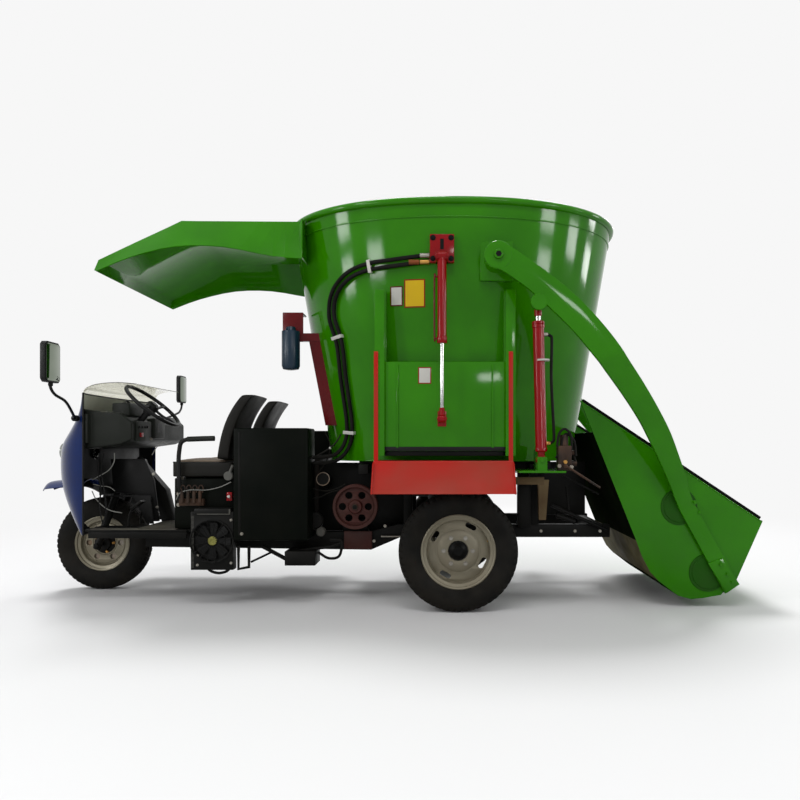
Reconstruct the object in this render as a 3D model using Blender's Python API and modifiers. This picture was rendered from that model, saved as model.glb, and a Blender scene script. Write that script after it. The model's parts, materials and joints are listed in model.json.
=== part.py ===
# Self-propelled three-wheeled vertical feed mixer with a rear loading bucket.
# Metres, +Z up. Forward is -X, the driver's left side is -Y. The origin is on the floor, at the
# middle of the machine's length and width.

import math

import bmesh
import bpy
from mathutils import Matrix, Vector

# Running gear
REAR_AXLE_X = 0.505
WHEELBASE = 2.56
FRONT_AXLE_X = REAR_AXLE_X - WHEELBASE
REAR_TYRE_R = 0.3775
REAR_TYRE_WIDTH = 0.18
REAR_RIM_R = 0.232
REAR_WHEEL_Y = 0.65
FRONT_TYRE_R = 0.333
FRONT_TYRE_WIDTH = 0.125
FRONT_RIM_R = 0.195
RIM_PLAY = 0.0003
HUB_PLAY = 0.0005
WHEEL_STEPS = 28

# Steering
RAKE = math.radians(20)
FORK_OFFSET = 0.045
FORK_LEG_Y = 0.105
CROWN_AT = 0.43
HEAD_LOW = 0.475
HEAD_HIGH = 0.64
STEM_R = 0.02
STEM_PLAY = 0.0008

# Chassis
RAIL_Y = 0.35
RAIL_WIDTH = 0.06
RAIL_TOP = 0.51
RAIL_DEPTH = 0.085
RAIL_REAR_X = REAR_AXLE_X + 1.031
FRONT_RAIL_TOP = 0.46
FRONT_RAIL_DEPTH = 0.10
KICK_X = REAR_AXLE_X - 0.48
SEAT_GAP = 0.0003
CROSS_HALF = 0.58

# Boxes and drive behind the cab
BOX_FRONT_X = REAR_AXLE_X - 1.438
BOX_REAR_X = REAR_AXLE_X - 0.9585
BOX_OUT_Y = 0.62
BOX_LOW = 0.434
BOX_HIGH = 1.156
RADIATOR_FRONT_X = REAR_AXLE_X - 1.715
RADIATOR_Y = 0.53
FAN_Z = 0.43
PULLEY_X = REAR_AXLE_X - 0.676
PULLEY_Y = 0.45
PULLEY_Z = 0.638

# Mixing tub, an oval cone
TUB_X = REAR_AXLE_X - 0.03
TUB_FLOOR = 0.94
TUB_TOP = 2.535
TUB_TOP_A = 1.13
TUB_TOP_B = 0.84
TUB_LOW_A = 0.86
TUB_LOW_B = 0.62
TUB_WALL = 0.010
TUB_POWER = 2.2
TUB_SIDES = 48
RIM_TUBE_R = 0.026
WELD_Z = TUB_TOP - 0.095
WELD_R = 0.006

# Discharge door
DOOR_X = REAR_AXLE_X - 0.084
DOOR_WIDTH = 0.765
DOOR_LOW = 1.011
DOOR_HIGH = 1.56
DOOR_PLATE = 0.010
DOOR_Y = -0.77
DOOR_PLAY = 0.006
GUIDE_PLATE = 0.012
GUIDE_SIDE = 0.05
RAIL_HIGH = DOOR_HIGH + 0.44

# Rear loader
PIVOT_X = REAR_AXLE_X + 0.231
PIVOT_Z = TUB_TOP - 0.36
ARM_DROP = PIVOT_Z - 0.575
ARM_Y = 0.93
ARM_THICK = 0.03
ARM_BEND_FROM = 0.90
ARM_BEND_TO = 1.95
BUCKET_HALF = 0.58
BUCKET_PLATE = 0.012
CYL_BASE_X = REAR_AXLE_X + 0.495
CYL_BASE_Z = 0.957
CYL_EYE_X = REAR_AXLE_X + 0.473
CYL_EYE_Z = PIVOT_Z - 0.278
CYL_Y = 0.875
CYL_R = 0.034
CYL_ROD_R = 0.0175
CYL_BORE_PLAY = 0.0008
PIVOT_PIN_R = 0.028
DOOR_CYL_X = REAR_AXLE_X - 0.103
DOOR_CYL_Y = -0.875
DOOR_EYE_Z = 1.206
DOOR_ROD_R = 0.012
DOOR_BRACKET_HALF = 0.075
FILTER_X = REAR_AXLE_X - 1.112
HOSE_R = 0.013

# Cab
CAB_HALF = 0.55
FLOOR_TOP = 0.495
FLOOR_SHEET = 0.012
SEAT_REAR_X = BOX_FRONT_X - 0.022
SEAT_FRONT_X = SEAT_REAR_X - 0.40
NOSE_EDGE_X = FRONT_AXLE_X + 0.13
NOSE_SKIN = 0.008
LAMP_Y = 0.2
LAMP_Z = 1.0
LAMP_R = 0.06
ARCH_HALF = 0.32
STEER_X = FRONT_AXLE_X + 0.475
STEER_Y = -0.30
STEER_Z = 1.314
WHEEL_TILT = math.radians(50)

# Canopy
CANOPY_SHEET = 0.006
CANOPY_TOP = TUB_TOP - 0.029
CANOPY_FRONT_X = REAR_AXLE_X - 2.31
CANOPY_KNEE_X = CANOPY_FRONT_X + 0.51
CANOPY_REAR_X = TUB_X - 0.972
CANOPY_FLANGE = 0.008

MODEL = "feed_mixer"

PAINTS = {
    "green": ((0.03, 0.21, 0.0), 0.0, 0.25),
    "dark": ((0.02, 0.02, 0.022), 0.1, 0.5),
    "red": ((0.5, 0.01, 0.025), 0.0, 0.3),
    "blue": ((0.01, 0.03, 0.18), 0.0, 0.3),
    "tyre": ((0.015, 0.015, 0.015), 0.0, 0.85),
    "rim": ((0.45, 0.42, 0.38), 0.4, 0.4),
    "chrome": ((0.8, 0.8, 0.8), 1.0, 0.15),
    "cast": ((0.12, 0.03, 0.02), 0.2, 0.6),
    "plastic": ((0.02, 0.02, 0.02), 0.0, 0.5),
    "seat": ((0.025, 0.022, 0.02), 0.0, 0.7),
    "clear": ((0.8, 0.85, 0.85), 0.0, 0.05),
    "steel": ((0.25, 0.24, 0.22), 0.8, 0.45),
}

for leftover in list(bpy.data.objects):
    bpy.data.objects.remove(leftover, do_unlink=True)

model = bpy.data.collections.new(MODEL)
bpy.context.scene.collection.children.link(model)


# Shapes

def add_object(mesh, name="shape"):
    shape = bpy.data.objects.new(name, mesh)
    model.objects.link(shape)
    return shape


def from_bmesh(bm):
    mesh = bpy.data.meshes.new("shape")
    bm.to_mesh(mesh)
    bm.free()
    return add_object(mesh)


def block(low, high):
    bm = bmesh.new()
    size = [high[i] - low[i] for i in range(3)]
    centre = [(high[i] + low[i]) / 2 for i in range(3)]
    bmesh.ops.create_cube(bm, size=1, matrix=Matrix.Translation(centre) @ Matrix.Diagonal((*size, 1)))
    return from_bmesh(bm)


def turn_to(direction):
    return Vector((0, 0, 1)).rotation_difference(Vector(direction)).to_matrix().to_4x4()


def cone(start, end, radius_start, radius_end, sides=16):
    start, end = Vector(start), Vector(end)
    bm = bmesh.new()
    place = Matrix.Translation((start + end) / 2) @ turn_to(end - start)
    bmesh.ops.create_cone(bm, cap_ends=True, segments=sides, radius1=radius_start,
                          radius2=radius_end, depth=(end - start).length, matrix=place)
    return from_bmesh(bm)


def bar(start, end, radius, sides=16):
    return cone(start, end, radius, radius, sides)


def evaluated_copy(source):
    graph = bpy.context.evaluated_depsgraph_get()
    mesh = bpy.data.meshes.new_from_object(source.evaluated_get(graph))
    bm = bmesh.new()
    bm.from_mesh(mesh)
    bmesh.ops.remove_doubles(bm, verts=bm.verts, dist=0.000002)
    bm.transform(source.matrix_world)
    bm.to_mesh(mesh)
    bm.free()
    bpy.data.objects.remove(source, do_unlink=True)
    mesh.materials.clear()
    return add_object(mesh)


PLANES = {
    "xy": Matrix.Identity(3),
    "xz": Matrix(((1, 0, 0), (0, 0, -1), (0, 1, 0))),
    "yz": Matrix(((0, 0, 1), (1, 0, 0), (0, 1, 0))),
}


def plate(outline, plane, side_one, side_two):
    """A flat outline in one plane, as thick as from side one to side two."""
    curve = bpy.data.curves.new("outline", "CURVE")
    curve.dimensions = "2D"
    curve.fill_mode = "BOTH"
    curve.extrude = abs(side_two - side_one) / 2
    spline = curve.splines.new("POLY")
    spline.points.add(len(outline) - 1)
    for point, (across, up) in zip(spline.points, outline):
        point.co = (across, up, 0, 1)
    spline.use_cyclic_u = True
    turn = PLANES[plane].to_4x4()
    middle = (side_one + side_two) / 2
    if plane == "xz":
        middle = -middle
    shape = bpy.data.objects.new("outline", curve)
    model.objects.link(shape)
    shape.matrix_world = turn @ Matrix.Translation((0, 0, middle))
    bpy.context.view_layer.update()
    return evaluated_copy(shape)


def tube(points, radius, closed=False, resolution=2):
    curve = bpy.data.curves.new("tube", "CURVE")
    curve.dimensions = "3D"
    curve.bevel_depth = radius
    curve.bevel_resolution = resolution
    curve.use_fill_caps = not closed
    spline = curve.splines.new("POLY")
    spline.points.add(len(points) - 1)
    for point, place in zip(spline.points, points):
        point.co = (*place, 1)
    spline.use_cyclic_u = closed
    shape = bpy.data.objects.new("tube", curve)
    model.objects.link(shape)
    bpy.context.view_layer.update()
    return evaluated_copy(shape)


def turned(profile, origin, direction, steps=32, closed=True):
    """A profile of (radius, height) pairs, run down its outer side, turned about an axis."""
    bm = bmesh.new()
    corners = [bm.verts.new((radius, 0, height)) for radius, height in profile]
    pairs = list(zip(corners, corners[1:]))
    if closed:
        pairs.append((corners[-1], corners[0]))
    for one, two in pairs:
        bm.edges.new((one, two))
    shape = from_bmesh(bm)
    screw = shape.modifiers.new("turn", "SCREW")
    screw.steps = steps
    screw.render_steps = steps
    screw.use_merge_vertices = True
    screw.merge_threshold = 0.00005
    shape.matrix_world = Matrix.Translation(origin) @ turn_to(direction)
    bpy.context.view_layer.update()
    return evaluated_copy(shape)


def softened(shape, width):
    """The same piece with its sharp edges rounded."""
    bevel = shape.modifiers.new("softened", "BEVEL")
    bevel.width = width
    bevel.segments = 2
    bevel.limit_method = "ANGLE"
    bevel.angle_limit = math.radians(25)
    bpy.context.view_layer.update()
    return evaluated_copy(shape)


def loft(sections):
    """Closed sections with the same number of points, joined in order and capped."""
    bm = bmesh.new()
    rings = [[bm.verts.new(point) for point in section] for section in sections]
    for low, high in zip(rings, rings[1:]):
        for i in range(len(low)):
            j = (i + 1) % len(low)
            # The diagonals are mirror images left and right
            if low[i].co.y + low[j].co.y > 0:
                bm.faces.new((low[i], low[j], high[i]))
                bm.faces.new((low[j], high[j], high[i]))
            else:
                bm.faces.new((low[i], low[j], high[j]))
                bm.faces.new((low[i], high[j], high[i]))
    bm.faces.new(list(reversed(rings[0])))
    bm.faces.new(rings[-1])
    bmesh.ops.recalc_face_normals(bm, faces=bm.faces)
    return from_bmesh(bm)


def combine(base, tools, operation):
    for tool in tools:
        step = base.modifiers.new(operation.lower(), "BOOLEAN")
        step.operation = operation
        step.solver = "EXACT"
        step.object = tool
    bpy.context.view_layer.update()
    result = evaluated_copy(base)
    for tool in tools:
        bpy.data.objects.remove(tool, do_unlink=True)
    return result


def fuse(base, *tools):
    return combine(base, tools, "UNION")


def cut(base, *tools):
    return combine(base, tools, "DIFFERENCE")


def mirrored(shape):
    """A copy on the other side of the machine's middle plane."""
    bm = bmesh.new()
    bm.from_mesh(shape.data)
    bmesh.ops.scale(bm, vec=(1, -1, 1), verts=bm.verts)
    bmesh.ops.reverse_faces(bm, faces=bm.faces)
    return from_bmesh(bm)


def finish(shape, name, paint, origin=(0, 0, 0), smooth=True):
    shape.data.transform(Matrix.Translation(-Vector(origin)))
    shape.location = origin
    shape.name = name
    shape.data.name = name
    colour, metallic, roughness = PAINTS[paint]
    material = bpy.data.materials.new(name + "_" + paint)
    material.use_nodes = True
    surface = material.node_tree.nodes["Principled BSDF"]
    surface.inputs["Base Color"].default_value = (*colour, 1)
    surface.inputs["Metallic"].default_value = metallic
    surface.inputs["Roughness"].default_value = roughness
    shape.data.materials.clear()
    shape.data.materials.append(material)
    if smooth:
        shape.data.shade_smooth()
        shape.data.set_sharp_from_angle(angle=math.radians(35))
    return shape


def both_sides(make, name, paint, origin=(0, 0, 0)):
    """The left piece, at -Y, and its mirror image."""
    left = make()
    right = mirrored(left)
    finish(left, "left_" + name, paint, origin)
    finish(right, "right_" + name, paint, (origin[0], -origin[1], origin[2]))


# Running gear

def tyre_profile(radius, width, rim_radius):
    half = width / 2
    crown = 0.72
    wall = 0.55 * radius + 0.45 * rim_radius
    return [
        (rim_radius, 0.70 * half), (rim_radius + 0.02, 0.82 * half), (wall, half),
        (radius - 0.05 * width, 0.86 * half), (radius - 0.01, crown * half), (radius, 0.45 * half),
        (radius, -0.45 * half), (radius - 0.01, -crown * half), (radius - 0.05 * width, -0.86 * half),
        (wall, -half), (rim_radius + 0.02, -0.82 * half), (rim_radius, -0.70 * half),
    ]


def rear_wheels():
    for side, name in ((-1, "left"), (1, "right")):
        centre = (REAR_AXLE_X, side * REAR_WHEEL_Y, REAR_TYRE_R)
        half = 0.35 * REAR_TYRE_WIDTH
        lip = REAR_RIM_R - RIM_PLAY
        rim = turned([
            (lip, half), (lip, -half), (lip - 0.01, -half), (lip - 0.01, -0.045),
            (0.145, -0.012), (0.105, -0.035), (0.07, -0.035), (0.07, -0.023), (0.10, -0.023),
            (0.145, 0.0), (lip - 0.01, -0.033), (lip - 0.01, half),
        ], centre, (0, side, 0), WHEEL_STEPS)
        slots = [bar((centre[0] + 0.178 * math.cos(a), centre[1] - 0.1, centre[2] + 0.178 * math.sin(a)),
                     (centre[0] + 0.178 * math.cos(a), centre[1] + 0.1, centre[2] + 0.178 * math.sin(a)),
                     0.017, 12)
                 for a in (math.pi / 4 + k * math.pi / 2 for k in range(4))]
        finish(cut(rim, *slots), name + "_rear_rim", "rim", centre)
        tyre = tyre_profile(REAR_TYRE_R, REAR_TYRE_WIDTH, REAR_RIM_R)
        tyre = turned(tyre, centre, (0, side, 0), WHEEL_STEPS)
        finish(tyre, name + "_rear_tyre", "tyre", centre)


def rear_axle():
    hub_face = REAR_WHEEL_Y - 0.035 - HUB_PLAY
    z = REAR_TYRE_R
    x = REAR_AXLE_X
    tube_part = bar((x, -hub_face + 0.03, z), (x, hub_face - 0.03, z), 0.045)
    pieces = [cone((x, s * (hub_face - 0.05), z), (x, s * hub_face, z), 0.095, 0.095, 24) for s in (-1, 1)]
    pieces += [bar((x, s * (hub_face - 0.02), z), (x, s * (hub_face + 0.045), z), 0.062, 16) for s in (-1, 1)]
    seat = RAIL_TOP - RAIL_DEPTH - SEAT_GAP
    pieces += [block((x - 0.05, s * RAIL_Y - 0.028, z), (x + 0.05, s * RAIL_Y + 0.028, seat)) for s in (-1, 1)]
    bowl = bmesh.new()
    bmesh.ops.create_uvsphere(bowl, u_segments=16, v_segments=8, radius=0.15,
                              matrix=Matrix.Translation((x, 0.0, z)))
    pieces.append(from_bmesh(bowl))
    finish(fuse(tube_part, *pieces), "rear_axle", "dark", (x, 0, z))


def along_fork(distance, across=0.0, side=0.0):
    """A point on the steering axis, or off it: distance up the axis, across it to the rear."""
    up = Vector((math.sin(RAKE), 0, math.cos(RAKE)))
    back = Vector((math.cos(RAKE), 0, -math.sin(RAKE)))
    axle = Vector((FRONT_AXLE_X, 0, FRONT_TYRE_R))
    return axle + back * (FORK_OFFSET + across) + up * distance + Vector((0, side, 0))


def front_wheel():
    centre = (FRONT_AXLE_X, 0, FRONT_TYRE_R)
    lip = FRONT_RIM_R - RIM_PLAY
    half = 0.35 * FRONT_TYRE_WIDTH
    rim = turned([
        (lip, half), (lip, -half), (lip - 0.01, -half), (lip - 0.01, -0.008), (0.06, -0.008),
        (0.055, -0.045), (0.0155, -0.045), (0.0155, 0.045), (0.055, 0.045), (0.06, 0.008),
        (lip - 0.01, 0.008), (lip - 0.01, half),
    ], centre, (0, -1, 0), WHEEL_STEPS)
    slots = [bar((centre[0] + 0.12 * math.cos(a), -0.1, centre[2] + 0.12 * math.sin(a)),
                 (centre[0] + 0.12 * math.cos(a), 0.1, centre[2] + 0.12 * math.sin(a)), 0.022, 8)
             for a in (k * math.pi / 3 for k in range(6))]
    finish(cut(rim, *slots), "front_rim", "rim", centre)
    tyre = turned(tyre_profile(FRONT_TYRE_R, FRONT_TYRE_WIDTH, FRONT_RIM_R), centre, (0, -1, 0), WHEEL_STEPS)
    finish(tyre, "front_tyre", "tyre", centre)


def front_fork():
    crown = block((-0.06, -FORK_LEG_Y - 0.03, CROWN_AT - 0.018), (0.035, FORK_LEG_Y + 0.03, CROWN_AT + 0.018))
    crown.matrix_world = Matrix.Translation(along_fork(0)) @ Matrix.Rotation(RAKE, 4, "Y")
    bpy.context.view_layer.update()
    crown = evaluated_copy(crown)
    legs = [bar(along_fork(-0.03, -FORK_OFFSET, y), along_fork(CROWN_AT, -FORK_OFFSET, y), 0.026, 16)
            for y in (-FORK_LEG_Y, FORK_LEG_Y)]
    end = FORK_LEG_Y + 0.04
    spindle = bar((FRONT_AXLE_X, -end, FRONT_TYRE_R), (FRONT_AXLE_X, end, FRONT_TYRE_R), 0.015, 24)
    stem = bar(along_fork(CROWN_AT), along_fork(HEAD_HIGH + 0.03), STEM_R, 24)
    cap = bar(along_fork(HEAD_HIGH + 0.006), along_fork(HEAD_HIGH + 0.03), 0.034, 16)
    finish(fuse(crown, *legs, spindle, stem, cap), "front_fork", "dark", along_fork(CROWN_AT))


def chassis():
    low, high = RAIL_TOP - RAIL_DEPTH, RAIL_TOP
    front_low, front_high = FRONT_RAIL_TOP - FRONT_RAIL_DEPTH, FRONT_RAIL_TOP
    nose = FRONT_AXLE_X + 0.46
    outline = [
        (nose, front_low), (KICK_X - 0.1, front_low - 0.02), (KICK_X + 0.1, low), (RAIL_REAR_X, low),
        (RAIL_REAR_X, high), (KICK_X + 0.08, high), (KICK_X - 0.12, front_high), (nose, front_high),
    ]
    rails = [plate(outline, "xz", s * RAIL_Y - RAIL_WIDTH / 2, s * RAIL_Y + RAIL_WIDTH / 2) for s in (-1, 1)]
    # Cross members, by place along the machine, height and thickness
    stations = (nose + 0.04, FRONT_AXLE_X + 0.95, BOX_REAR_X - 0.15, REAR_AXLE_X - 0.35,
                REAR_AXLE_X + 0.35, RAIL_REAR_X - 0.05)
    crosses = []
    for x in stations:
        top = front_high if x < KICK_X - 0.12 else high
        crosses.append(block((x - 0.03, -RAIL_Y, top - 0.07), (x + 0.03, RAIL_Y, top - 0.01)))
    # Gooseneck from the first cross member to the steering head
    head = along_fork((HEAD_LOW + HEAD_HIGH) / 2)
    neck = plate([
        (nose + 0.06, front_low + 0.01), (nose + 0.06, front_high), (nose - 0.0, 0.72),
        (head.x + 0.06, head.z + 0.07), (head.x, head.z + 0.06), (head.x, head.z - 0.05),
        (nose - 0.07, 0.62), (nose - 0.0, front_low + 0.02),
    ], "xz", -0.04, 0.04)
    collar = bar(along_fork(HEAD_LOW), along_fork(HEAD_HIGH), 0.038, 24)
    hole = bar(along_fork(HEAD_LOW - 0.2), along_fork(HEAD_HIGH + 0.2), STEM_R + STEM_PLAY, 24)
    frame = fuse(rails[0], rails[1], *crosses, neck, collar)
    finish(cut(frame, hole), "chassis_frame", "dark")


# Mixing tub

def oval(a, b, z, sides=TUB_SIDES):
    points = []
    for k in range(sides):
        t = 2 * math.pi * k / sides
        c, s = math.cos(t), math.sin(t)
        points.append((TUB_X + a * math.copysign(abs(c) ** (2 / TUB_POWER), c),
                       b * math.copysign(abs(s) ** (2 / TUB_POWER), s), z))
    return points


def tub_half(z, inset=0.0):
    """The cone's half length and half width at a height, less an inset."""
    share = (z - TUB_FLOOR) / (TUB_TOP - TUB_FLOOR)
    a = TUB_LOW_A + share * (TUB_TOP_A - TUB_LOW_A) - inset
    b = TUB_LOW_B + share * (TUB_TOP_B - TUB_LOW_B) - inset
    return a, b


def tub_cone(low, high, inset):
    return loft([oval(*tub_half(z, inset), z) for z in (low, high)])


def tub():
    outer = tub_cone(TUB_FLOOR, TUB_TOP, 0)
    left, right = DOOR_X - DOOR_WIDTH / 2, DOOR_X + DOOR_WIDTH / 2
    low = DOOR_LOW - 0.03
    gap = DOOR_Y - 2 * DOOR_PLAY - DOOR_PLATE
    inward = -TUB_LOW_B + 0.06
    sill = block((left - GUIDE_SIDE, DOOR_Y, low), (right + GUIDE_SIDE, inward, DOOR_LOW))
    lintel = block((left, DOOR_Y, DOOR_HIGH - 0.02), (right, inward, DOOR_HIGH - 0.01))
    frame = [sill, lintel]
    for s, edge in ((-1, left), (1, right)):
        outer_edge = edge + s * GUIDE_SIDE
        # Cheek from the tub's wall, guide beside the door and lip ahead of it
        for inner, front, back in ((edge - s * 0.02, DOOR_Y, inward),
                                   (edge + s * DOOR_PLAY, gap - 0.001, DOOR_Y + 0.01),
                                   (edge - s * GUIDE_PLATE, gap - GUIDE_PLATE, gap)):
            side_low, side_high = sorted((inner, outer_edge))
            frame.append(block((side_low, front, low), (side_high, back, RAIL_HIGH)))
    front = CANOPY_REAR_X + SEAT_GAP
    back = front + CANOPY_FLANGE
    flanges = [block((front, y - 0.08, CANOPY_TOP - 0.245), (back, y + 0.08, CANOPY_TOP - 0.01))
               for y in (-0.505, 0.505)]
    hollow = tub_cone(TUB_FLOOR + TUB_WALL, TUB_TOP + 0.2, TUB_WALL)
    passage = block((left + 0.02, DOOR_Y - 0.002, DOOR_LOW), (right - 0.02, inward + 0.3, DOOR_HIGH - 0.02))
    body = cut(fuse(outer, *frame, *flanges), hollow, passage)
    ring = tube(oval(*tub_half(TUB_TOP), TUB_TOP), RIM_TUBE_R, closed=True, resolution=1)
    weld = tube(oval(*tub_half(WELD_Z), WELD_Z), WELD_R, closed=True, resolution=0)
    finish(fuse(body, ring, weld), "mixing_tub", "green")


def auger():
    base = TUB_FLOOR + TUB_WALL + HUB_PLAY
    top = 2.18
    core_low, core_high = 0.19, 0.10
    core = cone((TUB_X, 0, base + 0.006), (TUB_X, 0, top), core_low, core_high, 24)
    disc = bar((TUB_X, 0, base), (TUB_X, 0, base + 0.03), 0.5, 40)
    turns, step = 2.5, 20
    flight_low, flight_high = base + 0.012, top - 0.06
    sections = []
    for k in range(int(turns * step) + 1):
        share = k / (turns * step)
        angle = 0.05 + 2 * math.pi * k / step
        z = flight_low + share * (flight_high - flight_low)
        outer = 0.53 - 0.30 * share
        inner = core_low + share * (core_high - core_low) - 0.04
        c, s = math.cos(angle), math.sin(angle)
        sections.append([
            (TUB_X + inner * c, inner * s, z), (TUB_X + outer * c, outer * s, z),
            (TUB_X + outer * c, outer * s, z + 0.016), (TUB_X + inner * c, inner * s, z + 0.016),
        ])
    flight = loft(sections)
    knives = []
    for k in (3, 11, 19, 27, 35, 43):
        share = k / (turns * step)
        angle = 0.05 + 2 * math.pi * (k + 0.5) / step
        z = flight_low + (k + 0.5) / (turns * step) * (flight_high - flight_low)
        outer = 0.53 - 0.30 * share
        knife = block((outer - 0.06, -0.05, -0.002), (outer + 0.045, 0.05, 0.008))
        knife.matrix_world = Matrix.Translation((TUB_X, 0, z + 0.022)) @ Matrix.Rotation(angle, 4, "Z")
        bpy.context.view_layer.update()
        knives.append(evaluated_copy(knife))
    finish(fuse(core, disc, flight, *knives), "auger", "steel", (TUB_X, 0, base))


def eased(table, count):
    """Rows between those of a table, on smooth curves through them."""
    rows = [table[0], *table, table[-1]]
    result = []
    for i in range(1, len(rows) - 2):
        for k in range(count):
            t = k / count
            result.append([0.5 * (2 * b + (c - a) * t + (2 * a - 5 * b + 4 * c - d) * t ** 2
                                  + (3 * b - a - 3 * c + d) * t ** 3)
                           for a, b, c, d in zip(*rows[i - 1:i + 3])])
    return result + [list(table[-1])]


def canopy():
    """The driver's roof: folded sheet with a sloping nose, a front lip and flared, arched skirts."""
    front, knee, rear, top = CANOPY_FRONT_X, CANOPY_KNEE_X, CANOPY_REAR_X, CANOPY_TOP
    skirts = eased([
        # x, skirt edge under the roof, skirt edge's half width, roof's half width
        (front, 0.348, 0.620, 0.590), (front + 0.22, 0.262, 0.632, 0.566), (knee, 0.196, 0.640, 0.530),
        (knee + 0.30, 0.196, 0.632, 0.522), (rear - 0.19, 0.250, 0.612, 0.515), (rear, 0.262, 0.600, 0.512),
    ], 3)
    bm = bmesh.new()
    rows = []
    for x, below, skirt_half, half in skirts:
        roof = top - max(0.0, knee - x) / (knee - front) * 0.271
        rows.append([bm.verts.new(point) for point in (
            (x, -skirt_half, top - below), (x, -half, roof), (x, 0, roof), (x, half, roof),
            (x, skirt_half, top - below))])
    for one, two in zip(rows, rows[1:]):
        for i in range(4):
            bm.faces.new((one[i], one[i + 1], two[i + 1], two[i]))
    lip = [bm.verts.new((front - 0.020, y, top - 0.340)) for y in (-0.605, 0.0, 0.605)]
    for i, (one, two) in enumerate(((1, 2), (2, 3))):
        bm.faces.new((rows[0][one], rows[0][two], lip[i + 1], lip[i]))
    bm.faces.new((rows[0][0], rows[0][1], lip[0]))
    bm.faces.new((rows[0][3], rows[0][4], lip[2]))
    bmesh.ops.recalc_face_normals(bm, faces=bm.faces)
    shape = from_bmesh(bm)
    thick = shape.modifiers.new("sheet", "SOLIDIFY")
    thick.thickness = CANOPY_SHEET
    thick.offset = 0
    thick.use_even_offset = True
    bpy.context.view_layer.update()
    shape = evaluated_copy(shape)
    wall = block((rear - CANOPY_FLANGE, -0.585, top - 0.25), (rear, 0.585, top - 0.0005))
    thin = CANOPY_SHEET / 2 - 0.0005
    roof = block((rear - 0.01, -0.5115, top - thin), (rear + 0.16, 0.5115, top + thin))
    lip = RIM_TUBE_R + 0.002
    bead = loft([oval(*tub_half(z, -lip), z) for z in (TUB_TOP - lip - 0.006, TUB_TOP + 0.1)])
    seam = WELD_R + 0.001
    weld = loft([oval(*tub_half(z, -seam), z) for z in (WELD_Z - seam, WELD_Z + seam)])
    flanges = [block((rear, s * 0.505 - 0.0803, top - 0.25),
                     (rear + CANOPY_FLANGE + 0.0006, s * 0.505 + 0.0803, top - 0.0097)) for s in (-1, 1)]
    finish(cut(fuse(shape, wall, roof), tub_skin(), bead, weld, *flanges), "canopy", "green")


def tub_skin(gap=SEAT_GAP):
    """The tub's outer form, a little larger, to trim what is fitted against it."""
    return loft([oval(*tub_half(z, -gap), z) for z in (TUB_FLOOR - SEAT_GAP, TUB_TOP + 0.1)])


def discharge_door():
    left, right = DOOR_X - DOOR_WIDTH / 2, DOOR_X + DOOR_WIDTH / 2
    face = DOOR_Y - DOOR_PLAY
    panel = block((left, face - DOOR_PLATE, DOOR_LOW), (right, face, DOOR_HIGH))
    x, y, z = DOOR_CYL_X, DOOR_CYL_Y, DOOR_EYE_Z
    ears = [block((at - 0.004, y - 0.02, z - 0.026), (at + 0.004, face, z + 0.029))
            for at in (x - 0.018, x + 0.018)]

    def across(half, radius):
        return bar((x - half, y, z), (x + half, y, z), radius, 16)

    rod = bar((x, y, z + 0.004), (x, y, 1.74), DOOR_ROD_R, 16)
    finish(fuse(panel, *ears, across(0.03, 0.009)), "discharge_door", "green")
    finish(cut(fuse(rod, across(0.0135, 0.022)), across(0.05, 0.0093)), "door_cylinder_rod", "chrome")


def door_cylinder():
    x, y = DOOR_CYL_X, DOOR_CYL_Y
    barrel = bar((x, y, 1.67), (x, y, 2.16), 0.0275, 16)
    gland = bar((x, y, 1.66), (x, y, 1.70), 0.031, 16)
    bracket = block((x - DOOR_BRACKET_HALF, -0.838, 2.155), (x + DOOR_BRACKET_HALF, -0.74, 2.33))
    arms = [block((at - 0.006, y - 0.025, 2.155), (at + 0.006, -0.83, 2.23)) for at in (x - 0.032, x + 0.032)]
    pin = bar((x - 0.042, y, 2.185), (x + 0.042, y, 2.185), 0.010, 16)
    eye = bar((x - 0.028, y, 2.185), (x + 0.028, y, 2.185), 0.0285, 16)
    out = x - 0.045
    side_pipe = tube([(x - 0.02, y, 2.06), (out, y, 2.06), (out, y, 1.69), (x - 0.02, y, 1.69)], 0.006)
    body = fuse(barrel, gland, bracket, *arms, pin, eye, side_pipe)
    bore = bar((x, y, 1.5), (x, y, 2.13), DOOR_ROD_R + CYL_BORE_PLAY, 16)
    finish(cut(body, bore, tub_skin()), "door_cylinder_barrel", "red")


def chute():
    """The red apron under the door, with side lips and two flat bars up the door frame."""
    left, right = DOOR_X - DOOR_WIDTH / 2 - GUIDE_SIDE - 0.005, DOOR_X + DOOR_WIDTH / 2 + GUIDE_SIDE - 0.015
    low, top, out = 0.757, DOOR_LOW - 0.06, 0.13
    face = DOOR_Y - 2 * DOOR_PLAY - DOOR_PLATE - GUIDE_PLATE - SEAT_GAP
    sheet, bar_width = 0.006, 0.028
    foot = face - out
    slope = plate([(face, top), (foot, low), (foot - sheet, low), (face - sheet, top)], "yz", left, right)
    shelf = block((left + 0.001, face - sheet / 2, top - sheet),
                  (right - 0.001, 0.03 - TUB_LOW_B, top - 0.0005))
    # Bars in front of the door frame and cheeks that close the apron's sides
    pieces = [shelf]
    for s, edge in ((1, left), (-1, right)):
        side_low, side_high = sorted((edge + s * 0.002, edge + s * bar_width))
        front = face - sheet - 0.001
        pieces.append(block((side_low, front, top - 0.03), (side_high, face - 0.0005, DOOR_HIGH + 0.06)))
        side_low, side_high = sorted((edge - s * 0.003, edge + s * 0.004))
        pieces.append(plate([(face + 0.002, top - 0.004), (foot + 0.002, low - 0.003), (foot - 0.026, low + 0.002),
                             (face - 0.045, top - 0.02)], "yz", side_low, side_high))
    finish(cut(fuse(slope, *pieces), tub_skin()), "discharge_chute", "red")


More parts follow.
